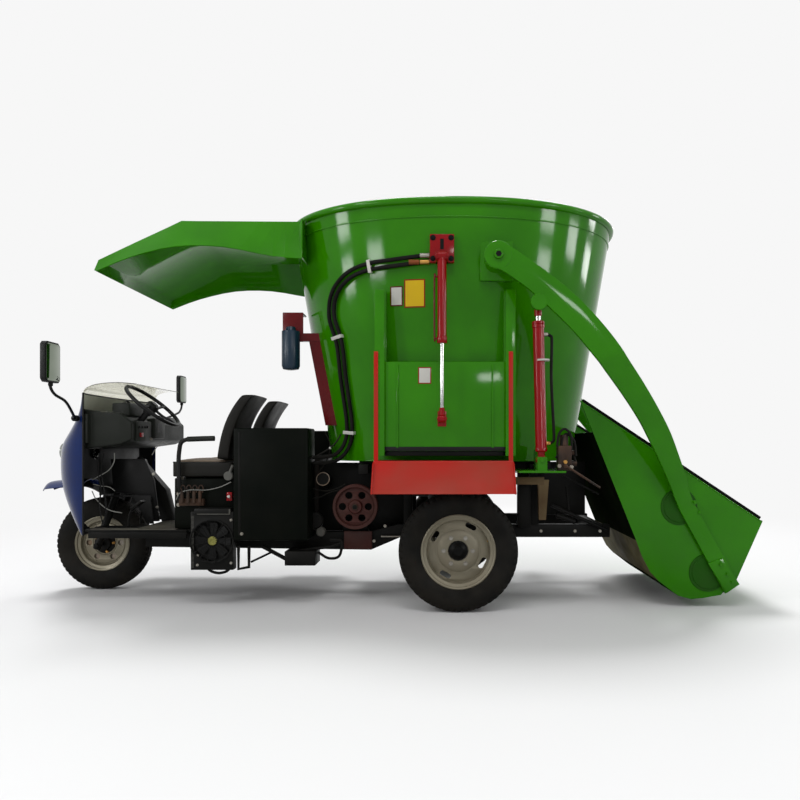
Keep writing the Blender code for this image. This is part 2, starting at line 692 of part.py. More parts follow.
def arm_y(radius):
    """How far out the arm's middle runs at a distance from its pivot."""
    share = min(1.0, max(0.0, (radius - ARM_BEND_FROM) / (ARM_BEND_TO - ARM_BEND_FROM)))
    low = BUCKET_HALF + ARM_THICK / 2 + 0.001
    return ARM_Y + share * (low - ARM_Y)


def lift_arm_left():
    """A broad, curved plate arm, flat near its pivot and bent inwards to the foot of the bucket."""
    # Upper and lower edge, from the pivot to the bucket, as (along, up) from the pivot at a drop of 1.6
    edges = [
        ((0.042, 0.068), (-0.042, -0.068)), ((0.139, 0.005), (0.035, -0.102)),
        ((0.302, -0.112), (0.190, -0.212)), ((0.435, -0.219), (0.320, -0.328)),
        ((0.555, -0.338), (0.435, -0.441)), ((0.668, -0.470), (0.530, -0.551)),
        ((0.770, -0.608), (0.640, -0.685)), ((0.880, -0.748), (0.760, -0.828)),
        ((0.985, -0.895), (0.869, -0.969)), ((1.077, -1.042), (0.952, -1.099)),
        ((1.150, -1.190), (1.040, -1.250)), ((1.219, -1.343), (1.120, -1.400)),
        ((1.275, -1.485), (1.192, -1.547)), ((1.573, -2.022), (1.483, -2.081)),
    ]
    sections = []
    for row in edges:
        upper, lower = [(along, up * ARM_DROP / 1.6) for along, up in row]
        middle = Vector(((upper[0] + lower[0]) / 2, (upper[1] + lower[1]) / 2))
        out = arm_y(middle.length)
        sections.append([
            (PIVOT_X + upper[0], -out - ARM_THICK / 2, PIVOT_Z + upper[1]),
            (PIVOT_X + upper[0], -out + ARM_THICK / 2, PIVOT_Z + upper[1]),
            (PIVOT_X + lower[0], -out + ARM_THICK / 2, PIVOT_Z + lower[1]),
            (PIVOT_X + lower[0], -out - ARM_THICK / 2, PIVOT_Z + lower[1]),
        ])
    arm = loft(sections)
    boss = bar((PIVOT_X, -ARM_Y - 0.03, PIVOT_Z), (PIVOT_X, -ARM_Y + 0.03, PIVOT_Z), 0.085, 24)
    inner, outer = -ARM_Y + ARM_THICK / 2, -ARM_Y - ARM_THICK / 2 + 0.001
    lug = bar((CYL_EYE_X, outer, CYL_EYE_Z), (CYL_EYE_X, inner, CYL_EYE_Z), 0.05, 16)
    hole = bar((PIVOT_X, -ARM_Y - 0.2, PIVOT_Z), (PIVOT_X, -ARM_Y + 0.2, PIVOT_Z), PIVOT_PIN_R + 0.0006, 24)
    return cut(fuse(arm, boss, lug), hole)


def bucket():
    # The side panel's outline as (along, up) from the rear axle, on the floor
    x = REAR_AXLE_X
    outline = [
        (x + 0.788, 1.337), (x + 0.970, 0.885), (x + 1.150, 0.432), (x + 1.187, 0.332), (x + 1.241, 0.228),
        (x + 1.295, 0.170), (x + 1.368, 0.115), (x + 1.422, 0.074), (x + 1.504, 0.052), (x + 1.585, 0.060),
        (x + 1.694, 0.079), (x + 1.795, 0.170), (x + 1.966, 0.554),
    ]
    outer = plate(outline, "xz", -BUCKET_HALF, BUCKET_HALF)
    wall = BUCKET_PLATE
    inner = [
        (x + 0.788 + wall, 1.50), (x + 0.970 + wall, 0.89), (x + 1.150 + wall, 0.436), (x + 1.199, 0.336),
        (x + 1.251, 0.236), (x + 1.302, 0.180), (x + 1.374, 0.126), (x + 1.426, 0.086), (x + 1.506, 0.064),
        (x + 1.585, 0.072), (x + 1.688, 0.090), (x + 1.785, 0.175), (x + 1.955, 0.560), (x + 2.05, 0.80),
    ]
    inside = plate(inner, "xz", -BUCKET_HALF + wall, BUCKET_HALF - wall)
    notch = block((x + 0.6, -BUCKET_HALF + wall, 1.13), (x + 1.1, BUCKET_HALF - wall, 1.5))
    finish(cut(outer, inside, notch), "loading_bucket", "green", (PIVOT_X, 0, PIVOT_Z))


def cylinder_line():
    base = Vector((CYL_BASE_X, -CYL_Y, CYL_BASE_Z))
    eye = Vector((CYL_EYE_X, -CYL_Y, CYL_EYE_Z))
    return base, (eye - base).normalized()


def lift_cylinders():
    base, line = cylinder_line()
    eye = Vector((CYL_EYE_X, -CYL_Y, CYL_EYE_Z))

    def barrel():
        body = bar(base + line * 0.05, base + line * 0.83, CYL_R, 16)
        foot = bar(base - line * 0.0, base + line * 0.06, 0.022, 16)
        ring = bar(base + Vector((0, -0.02, 0)), base + Vector((0, 0.02, 0)), 0.032, 16)
        gland = bar(base + line * 0.80, base + line * 0.835, CYL_R + 0.004, 16)
        bore = bar(base + line * 0.09, base + line * 0.9, CYL_ROD_R + CYL_BORE_PLAY, 16)
        hole = bar(base + Vector((0, -0.1, 0)), base + Vector((0, 0.1, 0)), 0.0157, 24)
        return cut(fuse(body, foot, ring, gland), bore, hole)

    def rod():
        shaft = bar(base + line * 0.12, eye, CYL_ROD_R, 16)
        ring = bar(eye + Vector((0, -0.018, 0)), eye + Vector((0, 0.018, 0)), 0.03, 16)
        pin = bar(eye + Vector((0, -(ARM_Y - ARM_THICK / 2 - CYL_Y - 0.006), 0)), eye, 0.016, 16)
        return fuse(shaft, ring, pin)

    both_sides(barrel, "lift_cylinder_barrel", "red", tuple(base))
    both_sides(rod, "lift_cylinder_rod", "chrome", tuple(eye))

    def bracket():
        x, z, inner = base.x, base.z, -CROSS_HALF - SEAT_GAP
        tray = block((x - 0.14, -CYL_Y - 0.05, z - 0.075), (x + 0.14, inner, z - 0.063))
        outline = [(x - 0.03, z - 0.07), (x + 0.03, z - 0.07), (x + 0.03, z + 0.02), (x - 0.03, z + 0.02)]
        ears = [plate(outline, "xz", y - 0.006, y + 0.006) for y in (-CYL_Y - 0.032, -CYL_Y + 0.032)]
        pin = bar(base + Vector((0, -0.045, 0)), base + Vector((0, 0.045, 0)), 0.0152, 24)
        web = block((x - 0.006, -CYL_Y + 0.05, z - 0.066), (x + 0.006, inner, z + 0.06))
        return cut(fuse(tray, *ears, pin, web), tub_skin())

    both_sides(bracket, "lift_cylinder_bracket", "green")

    def pivot_bracket():
        pad = block((PIVOT_X - 0.10, -0.80, PIVOT_Z - 0.12), (PIVOT_X + 0.10, -0.70, PIVOT_Z + 0.12))
        post = cone((PIVOT_X, -0.70, PIVOT_Z), (PIVOT_X, -ARM_Y + 0.0305, PIVOT_Z), 0.09, 0.06, 24)
        pin = bar((PIVOT_X, -0.7, PIVOT_Z), (PIVOT_X, -ARM_Y - 0.035, PIVOT_Z), PIVOT_PIN_R, 24)
        return cut(fuse(pad, post, pin), tub_skin())

    both_sides(pivot_bracket, "arm_pivot_bracket", "green")


def subframe():
    low, high = RAIL_TOP + SEAT_GAP, TUB_FLOOR - SEAT_GAP
    x0, x1 = REAR_AXLE_X - 0.66, REAR_AXLE_X + 0.63
    beams = [block((x0, s * RAIL_Y - 0.03, high - 0.08), (x1, s * RAIL_Y + 0.03, high)) for s in (-1, 1)]
    crosses = [block((x - 0.03, -CROSS_HALF, high - 0.079), (x + 0.03, CROSS_HALF, high - 0.019))
               for x in (x0 + 0.05, REAR_AXLE_X - 0.33, CYL_BASE_X)]
    posts = [block((x - 0.03, s * RAIL_Y - 0.028, low), (x + 0.03, s * RAIL_Y + 0.028, high - 0.04))
             for s in (-1, 1) for x in (REAR_AXLE_X - 0.33, REAR_AXLE_X + 0.52)]
    finish(fuse(beams[0], beams[1], *crosses, *posts), "tub_subframe", "steel")


# The nose shield, by height
NOSE_LEVELS = [
    # height, how far the nose reaches ahead of its side edges
    (0.457, 0.05), (0.486, 0.12), (0.563, 0.20), (0.68, 0.275), (0.80, 0.32), (0.95, 0.33),
    (1.05, 0.31), (1.147, 0.23), (1.264, 0.12), (1.379, 0.05),
]
NOSE_COLUMNS = 14


def nose_form(grow, back=0.0, over=0.0):
    """The nose shield's form as a closed solid, bowed forward between its side edges.

    It is grown outwards, or shrunk, all round, and can run on behind its edges and over its ends.
    """
    rows = []
    levels = list(NOSE_LEVELS)
    if over > 0:
        low, high = levels[0], levels[-1]
        levels = [(low[0] - over, low[1])] + levels + [(high[0] + over, high[1])]
    for z, reach in levels:
        row = []
        for k in range(NOSE_COLUMNS + 1):
            t = math.pi * k / NOSE_COLUMNS
            row.append((NOSE_EDGE_X - (reach + grow) * math.sin(t), -(CAB_HALF + grow) * math.cos(t), z))
        if back > 0:
            row += [(NOSE_EDGE_X + back, CAB_HALF + grow, z), (NOSE_EDGE_X + back, -CAB_HALF - grow, z)]
        rows.append(row)
    return loft(rows)


def fairing():
    """The blue nose shield: bowed in plan and in profile, with an arch over the front wheel."""
    shell = cut(nose_form(0), nose_form(-NOSE_SKIN, back=0.1, over=0.1))
    arch = bar((FRONT_AXLE_X - 0.9, 0, 0.42), (FRONT_AXLE_X + 0.3, 0, 0.42), ARCH_HALF, 24)
    lamp_holes = [bar((NOSE_EDGE_X - 0.6, y, LAMP_Z), (NOSE_EDGE_X, y, LAMP_Z), LAMP_R + 0.0005, 16)
                  for y in (-LAMP_Y, LAMP_Y)]
    finish(cut(shell, arch, *lamp_holes), "front_fairing", "blue")


def mudguard():
    """The fixed beak over the front wheel, ahead of the nose shield."""
    nose = FRONT_AXLE_X - 0.416
    root = FRONT_AXLE_X - 0.10
    rows = [
        # along, height of the middle, half width
        (root, 0.800, 0.16), (root - 0.10, 0.800, 0.15), (nose + 0.05, 0.785, 0.12), (nose, 0.765, 0.07),
    ]
    bm = bmesh.new()
    grid = []
    for x, z, half in rows:
        grid.append([bm.verts.new((x, half * k / 3, z - 0.05 * abs(k / 3) ** 2)) for k in range(-3, 4)])
    for one, two in zip(grid, grid[1:]):
        for i in range(6):
            bm.faces.new((one[i], one[i + 1], two[i + 1], two[i]))
    bmesh.ops.recalc_face_normals(bm, faces=bm.faces)
    shape = from_bmesh(bm)
    thick = shape.modifiers.new("skin", "SOLIDIFY")
    thick.thickness = 0.006
    bpy.context.view_layer.update()
    finish(cut(evaluated_copy(shape), nose_form(SEAT_GAP)), "front_mudguard", "blue")


def cab():
    edge = NOSE_EDGE_X
    floor = block((edge + SEAT_GAP, -CAB_HALF, FLOOR_TOP - FLOOR_SHEET), (SEAT_REAR_X, CAB_HALF, FLOOR_TOP))
    half = CAB_HALF - 0.05
    bearers = [block((x, -half, FRONT_RAIL_TOP + SEAT_GAP), (x + 0.05, half, FLOOR_TOP - 0.006))
               for x in (FRONT_AXLE_X + 0.58, SEAT_REAR_X - 0.08)]
    well = block((edge - 0.1, -0.31, 0.3), (FRONT_AXLE_X + 0.44, 0.31, 0.7))
    slot = block((FRONT_AXLE_X + 0.4, -0.045, 0.3), (FRONT_AXLE_X + 0.53, 0.045, 0.7))
    outer, inner = -CAB_HALF - 0.1, SEAT_GAP - RADIATOR_Y
    notch = block((RADIATOR_FRONT_X - 0.045, outer, 0.4), (SEAT_REAR_X + 0.1, inner, 0.6))
    finish(cut(fuse(floor, *bearers), well, slot, notch), "floor_pan", "dark")
    rows = []
    levels = ((-0.02, 0.05, 1.02, 1.28), (0.20, 0.07, 1.05, 1.26), (0.27, 0.09, 1.08, 1.20))
    for back, narrower, low, high in levels:
        half = CAB_HALF - narrower
        rows.append([(edge + back, y, z) for y, z in ((-half, low), (half, low), (half, high), (-half, high))])
    dash = softened(loft(rows), 0.012)
    pod = softened(block((edge + 0.12, -0.42, 1.24), (edge + 0.24, -0.18, 1.33)), 0.010)
    flange = block((edge - 0.06, -CAB_HALF - 0.05, 1.06), (edge + 0.021, CAB_HALF + 0.05, 1.25))
    flange = combine(flange, [nose_form(-NOSE_SKIN - SEAT_GAP, back=0.1)], "INTERSECT")
    axis = Vector((math.cos(WHEEL_TILT), 0, math.sin(WHEEL_TILT)))
    hub = Vector((STEER_X, STEER_Y, STEER_Z))
    passage = bar(hub - axis * 0.40, hub, 0.0225, 16)
    finish(cut(fuse(dash, pod, flange), passage), "dashboard", "plastic")
    bm = bmesh.new()
    rows = []
    for z, reach, half, back in ((1.378, 0.05, 0.55, 0.0), (1.42, 0.07, 0.53, 0.015), (1.45, 0.05, 0.48, 0.06),
                                 (1.465, 0.03, 0.42, 0.16), (1.46, 0.01, 0.38, 0.26)):
        rows.append([bm.verts.new((edge + back - reach * math.sin(math.pi * k / 10),
                                   -half * math.cos(math.pi * k / 10), z)) for k in range(11)])
    for low, high in zip(rows, rows[1:]):
        for i in range(10):
            bm.faces.new((low[i], low[i + 1], high[i + 1], high[i]))
    bmesh.ops.recalc_face_normals(bm, faces=bm.faces)
    screen = from_bmesh(bm)
    thick = screen.modifiers.new("sheet", "SOLIDIFY")
    thick.thickness = 0.005
    thick.offset = 0
    bpy.context.view_layer.update()
    screen = evaluated_copy(screen)
    below = block((edge - 1, -1, 1.3), (edge + 1, 1, NOSE_LEVELS[-1][0] + SEAT_GAP))
    finish(cut(screen, below), "windscreen", "clear")
    for s, name in ((-1, "left"), (1, "right")):
        y = s * LAMP_Y
        lamp = bar((NOSE_EDGE_X - 0.322, y, LAMP_Z), (NOSE_EDGE_X - 0.25, y, LAMP_Z), LAMP_R, 16)
        finish(lamp, name + "_headlamp", "clear")
    column = bar(hub - axis * 0.28, hub - axis * 0.0305, 0.022, 16)
    finish(column, "steering_column", "dark")
    ring = turned([(0.205 + 0.013 * math.cos(a), 0.013 * math.sin(a)) for a in
                   (math.pi / 2 - k * math.pi / 3 for k in range(6))], hub, axis, 24)
    spokes = [bar(hub, hub + Matrix.Rotation(a, 3, axis) @ Vector((0, 1, 0)) * 0.2, 0.009, 10)
              for a in (math.radians(k) for k in (0, 180, 270))]
    boss = bar(hub - axis * 0.03, hub + axis * 0.02, 0.045, 16)
    finish(fuse(ring, boss, *spokes), "steering_wheel", "plastic", tuple(hub))


def seats():
    x0, x1 = SEAT_FRONT_X, SEAT_REAR_X
    base_half, seat_low, seat_high = CAB_HALF - 0.05, 0.83, 0.95
    base = block((x0, -base_half, FLOOR_TOP + SEAT_GAP), (x1, base_half, seat_low))
    finish(base, "seat_base", "dark")
    cushion = block((x0 - 0.02, -base_half - 0.02, seat_low + SEAT_GAP), (x1, base_half + 0.02, seat_high))
    finish(softened(cushion, 0.02), "seat_cushion", "seat")
    for s, name in ((-1, "left"), (1, "right")):
        middle = s * (CAB_HALF - 0.21)
        foot = seat_high + SEAT_GAP
        back = plate([(x1 - 0.125, foot), (x1 - 0.025, foot), (x1 + 0.017, 1.16), (x1 + 0.10, 1.34),
                      (x1 + 0.08, 1.38), (x1 + 0.03, 1.38), (x1, 1.34), (x1 - 0.075, 1.16)],
                     "xz", middle - 0.2, middle + 0.2)
        finish(softened(back, 0.014), name + "_backrest", "seat")
    post_r = 0.014
    post_y = -base_half - post_r - 0.004
    out = post_y - 0.03
    route = [(x0 + 0.05, post_y, 0.66), (x0 + 0.05, post_y, 0.72), (x0 + 0.05, out, 0.81), (x0 + 0.05, out, 1.0),
             (x0 + 0.09, out, 1.08), (x0 + 0.28, out, 1.09)]
    foot = block((x0 + 0.02, -base_half - 0.008, 0.64), (x0 + 0.08, -base_half - SEAT_GAP, 0.74))
    finish(fuse(tube(eased(route, 3), post_r), foot), "armrest", "plastic")


def mirrors():
    def left():
        x = FRONT_AXLE_X + 0.175
        head = block((x - 0.02, -1.08, 1.41), (x + 0.02, -0.92, 1.65))
        root_x = NOSE_EDGE_X - 0.04
        arm = tube([(x, -1.0, 1.45), (x, -1.0, 1.38), (x, -0.9, 1.32), (root_x, -CAB_HALF - 0.03, 1.22)], 0.009)
        foot = bar((root_x, -CAB_HALF - 0.04, 1.22), (root_x, -CAB_HALF + 0.05, 1.22), 0.02, 16)
        return cut(fuse(head, arm, foot), nose_form(SEAT_GAP))
    both_sides(left, "mirror", "plastic")


def boxes():
    """The closed box and the tank beside the engine, each hung on its rail."""
    inner = RAIL_Y + RAIL_WIDTH / 2 + SEAT_GAP
    for s, name in ((-1, "equipment_box"), (1, "fuel_tank")):
        low_y, high_y = sorted((s * inner, s * BOX_OUT_Y))
        shape = block((BOX_FRONT_X, low_y, BOX_LOW), (BOX_REAR_X, high_y, BOX_HIGH))
        finish(softened(shape, 0.012), name, "dark")
    seat = FRONT_RAIL_TOP - 0.01 + SEAT_GAP
    engine = block((BOX_FRONT_X + 0.038, -0.28, seat), (BOX_REAR_X + 0.0085, 0.28, 0.95))
    finish(engine, "engine_block", "steel")


def cooling():
    rear_x = BOX_FRONT_X - 0.005
    outer = RADIATOR_Y + 0.07
    core = block((RADIATOR_FRONT_X, -outer, 0.245), (rear_x, -RADIATOR_Y, 0.617))
    tank = block((RADIATOR_FRONT_X + 0.02, -outer - 0.006, 0.600), (rear_x - 0.02, 0.006 - RADIATOR_Y, 0.640))
    tank = softened(tank, 0.008)
    x, z = (RADIATOR_FRONT_X + rear_x) / 2, FAN_Z
    ring = turned([(0.142, 0.012), (0.142, -0.02), (0.134, -0.02), (0.134, 0.012)],
                  (x, -outer, z), (0, -1, 0), 32)
    well = bar((x, -outer - 0.1, z), (x, 0.03 - RADIATOR_Y - 0.06, z), 0.13, 24)
    finish(cut(fuse(core, tank, ring), well), "radiator", "dark")
    face = 0.0305 + RADIATOR_Y
    blades = []
    for k in range(8):
        a = 2 * math.pi * k / 8
        # Blade outline as (out, across) from the hub
        outline = [(x + px * math.cos(a) - pz * math.sin(a), z + px * math.sin(a) + pz * math.cos(a))
                   for px, pz in ((0.02, -0.012), (0.10, -0.035), (0.117, -0.01), (0.112, 0.022), (0.02, 0.012))]
        blades.append(plate(outline, "xz", -face - 0.0225, -face - 0.0145))
    hub = bar((x, -face - 0.0315, z), (x, -face, z), 0.035, 16)
    finish(fuse(hub, *blades), "radiator_fan", "steel", (x, -face - 0.0095, z))


def drive():
    px, pz = PULLEY_X, PULLEY_Z
    half, shaft_r = 0.03, 0.015
    pulley = turned([(0.149, half), (0.136, 0.012), (0.136, -0.012), (0.149, -half), (0.13, -half), (0.125, -0.01),
                     (0.05, -0.012), (0.045, -half),
                     (shaft_r + HUB_PLAY, -half), (shaft_r + HUB_PLAY, half), (0.045, half), (0.05, 0.012),
                     (0.125, 0.01), (0.13, half)], (px, -PULLEY_Y, pz), (0, -1, 0), 24)
    holes = [bar((px + 0.086 * math.cos(a), -PULLEY_Y - 0.05, pz + 0.086 * math.sin(a)),
                 (px + 0.086 * math.cos(a), 0.05 - PULLEY_Y, pz + 0.086 * math.sin(a)), 0.025, 10)
             for a in (k * math.pi / 3 for k in range(6))]
    finish(cut(pulley, *holes), "drive_pulley", "cast", (px, -PULLEY_Y, pz))
    shaft = bar((px, -PULLEY_Y - 0.04, pz), (px, 0.0, pz), shaft_r, 24)
    case = softened(block((px - 0.12, -0.25, pz - 0.12), (px + 0.12, 0.25, pz + 0.14)), 0.02)
    foot = block((px - 0.10, -RAIL_Y, FRONT_RAIL_TOP + SEAT_GAP), (px + 0.07, RAIL_Y, pz - 0.10))
    finish(fuse(case, shaft, foot), "transfer_gearbox", "dark")
    gearbox = cone((TUB_X, 0, 0.60), (TUB_X, 0, TUB_FLOOR - SEAT_GAP), 0.16, 0.22, 16)
    flange = bar((TUB_X, 0, TUB_FLOOR - 0.03), (TUB_X, 0, TUB_FLOOR - SEAT_GAP - 0.0002), 0.26, 24)
    neck = bar((TUB_X, 0, 0.72), (TUB_X - 0.28, 0, 0.72), 0.05, 16)
    finish(fuse(gearbox, flange, neck), "auger_gearbox", "dark")


def filter_group():
    """The red bracket at the tub's front, with a strip down the cone and the blue filter on it."""
    face = 0.36
    left, right, low, high = FILTER_X - 0.07, FILTER_X + 0.07, 1.746, 1.945
    panel = softened(block((left, -face, low), (right, 0.010 - face, high)), 0.004)
    shelf = block((left + 0.002, -face + 0.002, high - 0.011), (right - 0.002, -0.24, high - 0.002))
    arm = block((right - 0.02, -face + 0.001, low + 0.004), (right + 0.16, -0.32, low + 0.058))
    strip = plate([(right + 0.036, low + 0.02), (right + 0.14, low + 0.02), (right + 0.25, 1.18),
                   (right + 0.15, 1.18)], "xz", 0.004 - face, 0.024 - face)
    finish(cut(fuse(panel, shelf, arm, strip), tub_skin()), "filter_bracket", "red")
    radius = 0.06
    y = -face - radius - SEAT_GAP
    canister = turned([(0.0, 1.835), (0.03, 1.835), (0.034, 1.812), (radius, 1.806), (radius, 1.575),
                       (0.052, 1.553), (0.02, 1.547), (0.0, 1.547)], (FILTER_X, y, 0), (0, 0, 1), 24, closed=False)
    finish(canister, "filter_canister", "blue")


def tub_front(x, z):
    """The Y of the cone's near side at a place along the machine and a height."""
    a, b = tub_half(z)
    share = min(1.0, abs(x - TUB_X) / a)
    return -b * (1 - share ** TUB_POWER) ** (1 / TUB_POWER)


def held_hose(route, radius):
    """A hose through its clips: eased between them and straight for a stretch at both ends."""
    smooth = eased(route[1:-1], 3)
    return tube([route[0], *smooth, route[-1]], radius)


def hoses():
    """Two hoses clipped along the tub, from the equipment box up to the door cylinder's bracket."""
    start, end = DOOR_CYL_X - DOOR_BRACKET_HALF - 0.0005, BOX_REAR_X + 0.0005
    low = 0.965
    # Upper hose as (along the machine, height), the lower one runs beside it
    route = [(start, 2.205), (start - 0.03, 2.205), (0.12, 2.19), (-0.07, 2.175), (-0.21, 2.13), (-0.31, 2.03),
             (-0.335, 1.88), (-0.285, 1.70), (-0.262, 1.47), (-0.228, 1.20), (-0.24, 1.07),
             (-0.30, low + 0.022), (-0.40, low), (end, low)]
    for name, aside in (("upper", 0.0), ("lower", 3 * HOSE_R)):
        points = []
        for i, (x, z) in enumerate(route):
            before, after = route[max(0, i - 1)], route[min(len(route) - 1, i + 1)]
            way = Vector((after[0] - before[0], after[1] - before[1])).normalized()
            x, z = x - aside * way.y, z + aside * way.x
            points.append([x, min(tub_front(x, z) - HOSE_R - 0.012, -0.455), z])
        for one, other in ((0, 1), (-1, -2)):
            points[other][1:] = points[one][1:] = [points[other][1], points[one][2]]
        finish(held_hose(points, HOSE_R), name + "_door_hose", "tyre")


def cylinder_hose():
    """The hose from the cylinder's head down its rear to its foot, carried by the barrel."""
    base, line = cylinder_line()
    side = Vector((line.z, 0, -line.x))
    inside, out = CYL_R + 0.0005, CYL_R + 0.045
    # Places as (up the cylinder, out from its axis)
    route = [(0.755, inside), (0.755, inside + 0.014), (0.745, out - 0.008), (0.715, out), (0.50, out - 0.008),
             (0.30, out - 0.004), (0.14, out), (0.11, out - 0.008), (0.10, inside + 0.014), (0.10, inside)]
    return held_hose([tuple(base + line * up + side * across) for up, across in route], 0.009)


def control_valve():
    """The hand valve beside the cylinder's foot, on the end of its tray."""
    x, y, z = CYL_BASE_X + 0.13, -CYL_Y, CYL_BASE_Z - 0.063 + SEAT_GAP
    body = softened(block((x - 0.035, y - 0.04, z), (x + 0.045, y + 0.04, z + 0.15)), 0.006)
    head = bar((x + 0.005, y, z + 0.14), (x + 0.005, y, z + 0.215), 0.026, 16)
    ports = [bar((x + 0.005, y, z + up), (x + 0.08, y, z + up), 0.017, 12) for up in (0.045, 0.105)]
    link = bar((x + 0.005, y - 0.03, z + 0.03), (x + 0.005, y - 0.06, z + 0.03), 0.012, 12)
    lever = bar((x + 0.0, y - 0.054, z + 0.035), (x + 0.21, y - 0.054, z - 0.10), 0.007, 10)
    finish(fuse(body, head, *ports, link, lever), "control_valve", "steel")


# Build

rear_wheels()
rear_axle()
front_wheel()
front_fork()
chassis()
subframe()
tub()
auger()
canopy()
discharge_door()
door_cylinder()
chute()
both_sides(lift_arm_left, "lift_arm", "green", (PIVOT_X, 0, PIVOT_Z))
bucket()
lift_cylinders()
fairing()
mudguard()
cab()
seats()
mirrors()
boxes()
cooling()
drive()
filter_group()
hoses()
both_sides(cylinder_hose, "cylinder_hose", "tyre")
control_valve()
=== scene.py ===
# Looks of the self-propelled feed mixer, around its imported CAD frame. Metres, +Z up, -X forward.
import json
import math
import bmesh
import bpy
from mathutils import Matrix, Vector

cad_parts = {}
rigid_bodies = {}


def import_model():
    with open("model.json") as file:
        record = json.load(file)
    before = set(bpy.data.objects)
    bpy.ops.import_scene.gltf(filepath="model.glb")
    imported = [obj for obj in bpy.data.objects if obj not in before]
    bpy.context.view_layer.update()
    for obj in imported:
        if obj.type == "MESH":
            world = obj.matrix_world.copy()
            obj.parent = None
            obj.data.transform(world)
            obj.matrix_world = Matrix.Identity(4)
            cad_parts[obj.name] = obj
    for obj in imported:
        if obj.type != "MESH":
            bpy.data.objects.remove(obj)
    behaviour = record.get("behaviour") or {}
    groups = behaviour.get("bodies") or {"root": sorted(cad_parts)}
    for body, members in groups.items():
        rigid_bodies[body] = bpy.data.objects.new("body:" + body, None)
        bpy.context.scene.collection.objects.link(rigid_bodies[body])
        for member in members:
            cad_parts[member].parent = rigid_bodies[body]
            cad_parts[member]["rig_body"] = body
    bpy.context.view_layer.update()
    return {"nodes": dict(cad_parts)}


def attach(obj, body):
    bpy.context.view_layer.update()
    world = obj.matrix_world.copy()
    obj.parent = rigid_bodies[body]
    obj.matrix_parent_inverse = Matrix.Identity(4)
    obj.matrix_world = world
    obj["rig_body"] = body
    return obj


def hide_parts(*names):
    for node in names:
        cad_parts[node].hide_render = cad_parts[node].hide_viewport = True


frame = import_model()
print("frame loaded with", len(frame["nodes"]), "nodes")


# Node and object helpers

def linked(name, data):
    thing = bpy.data.objects.new(name, data)
    bpy.context.scene.collection.objects.link(thing)
    return thing


def feed(node, inputs):
    # A socket is linked to the input, and any other value is set there
    for label, value in inputs.items():
        if isinstance(value, bpy.types.NodeSocket):
            node.id_data.links.new(value, node.inputs[label])
        else:
            node.inputs[label].default_value = value


def addNode(tree, kind, inputs=None, output=0, **settings):
    node = tree.nodes.new(kind)
    for label, value in settings.items():
        setattr(node, label, value)
    feed(node, inputs or {})
    return node.outputs[output]


def newMaterial(name):
    material = bpy.data.materials.new(name)
    material.use_nodes = True
    return material, material.node_tree, material.node_tree.nodes["Principled BSDF"]


# Stage, camera and light

stageLook = dict(floorSize=60.0, floorSeen=(0.75, 0.75, 0.755), floorBounce=(0.55, 0.55, 0.55),
                 floorRough=0.9, worldLight=0.62, worldSeen=0.93, fadeFrom=3.4, fadeTo=8.0,
                 sunStrength=1.55, sunTilt=(-20, -9), sunAngle=18)
photoView = dict(place=(0.39, -4.94, 1.06), focalPixels=676, imagePixels=800, sensor=36,
                 centreRight=-40, centreUp=43)


def setCamera(view):
    data = bpy.data.cameras.new("photoCamera")
    data.sensor_width = view["sensor"]
    data.lens = view["sensor"] * view["focalPixels"] / view["imagePixels"]
    data.shift_x = view["centreRight"] / view["imagePixels"]
    data.shift_y = view["centreUp"] / view["imagePixels"]
    camera = linked("photoCamera", data)
    camera.location = view["place"]
    camera.rotation_euler = (math.pi / 2, 0, 0)
    bpy.context.scene.camera = camera


def seenRays(tree):
    rays = addNode(tree, "ShaderNodeLightPath", output="Is Camera Ray")
    seen = rays
    for kind in ("Is Glossy Ray", "Is Transmission Ray"):
        seen = addNode(tree, "ShaderNodeMath", {0: seen, 1: rays.node.outputs[kind]}, operation="MAXIMUM")
    return seen


def makeGround(look):
    # Plain near the machine, where it takes the shadow, and fading into the backdrop further out
    ground, tree, shader = newMaterial("paleFloor")
    seen = seenRays(tree)
    colours = {"Factor": seen, "A": (*look["floorBounce"], 1), "B": (*look["floorSeen"], 1)}
    paint = addNode(tree, "ShaderNodeMix", colours, "Result", data_type="RGBA")
    feed(shader, {"Base Color": paint, "Roughness": look["floorRough"], "Specular IOR Level": 0.1})
    glow = addNode(tree, "ShaderNodeEmission", {"Strength": look["worldSeen"]})
    place = addNode(tree, "ShaderNodeTexCoord", output="Object")
    reach = addNode(tree, "ShaderNodeVectorMath", {0: place}, "Value", operation="LENGTH")
    ends = {"Value": reach, "From Min": look["fadeFrom"], "From Max": look["fadeTo"]}
    fade = addNode(tree, "ShaderNodeMapRange", ends, interpolation_type="SMOOTHSTEP")
    share = addNode(tree, "ShaderNodeMath", {0: fade, 1: seen}, operation="MULTIPLY")
    mix = addNode(tree, "ShaderNodeMixShader", {0: share, 1: shader.outputs[0], 2: glow})
    feed(tree.nodes["Material Output"], {"Surface": mix})
    return ground


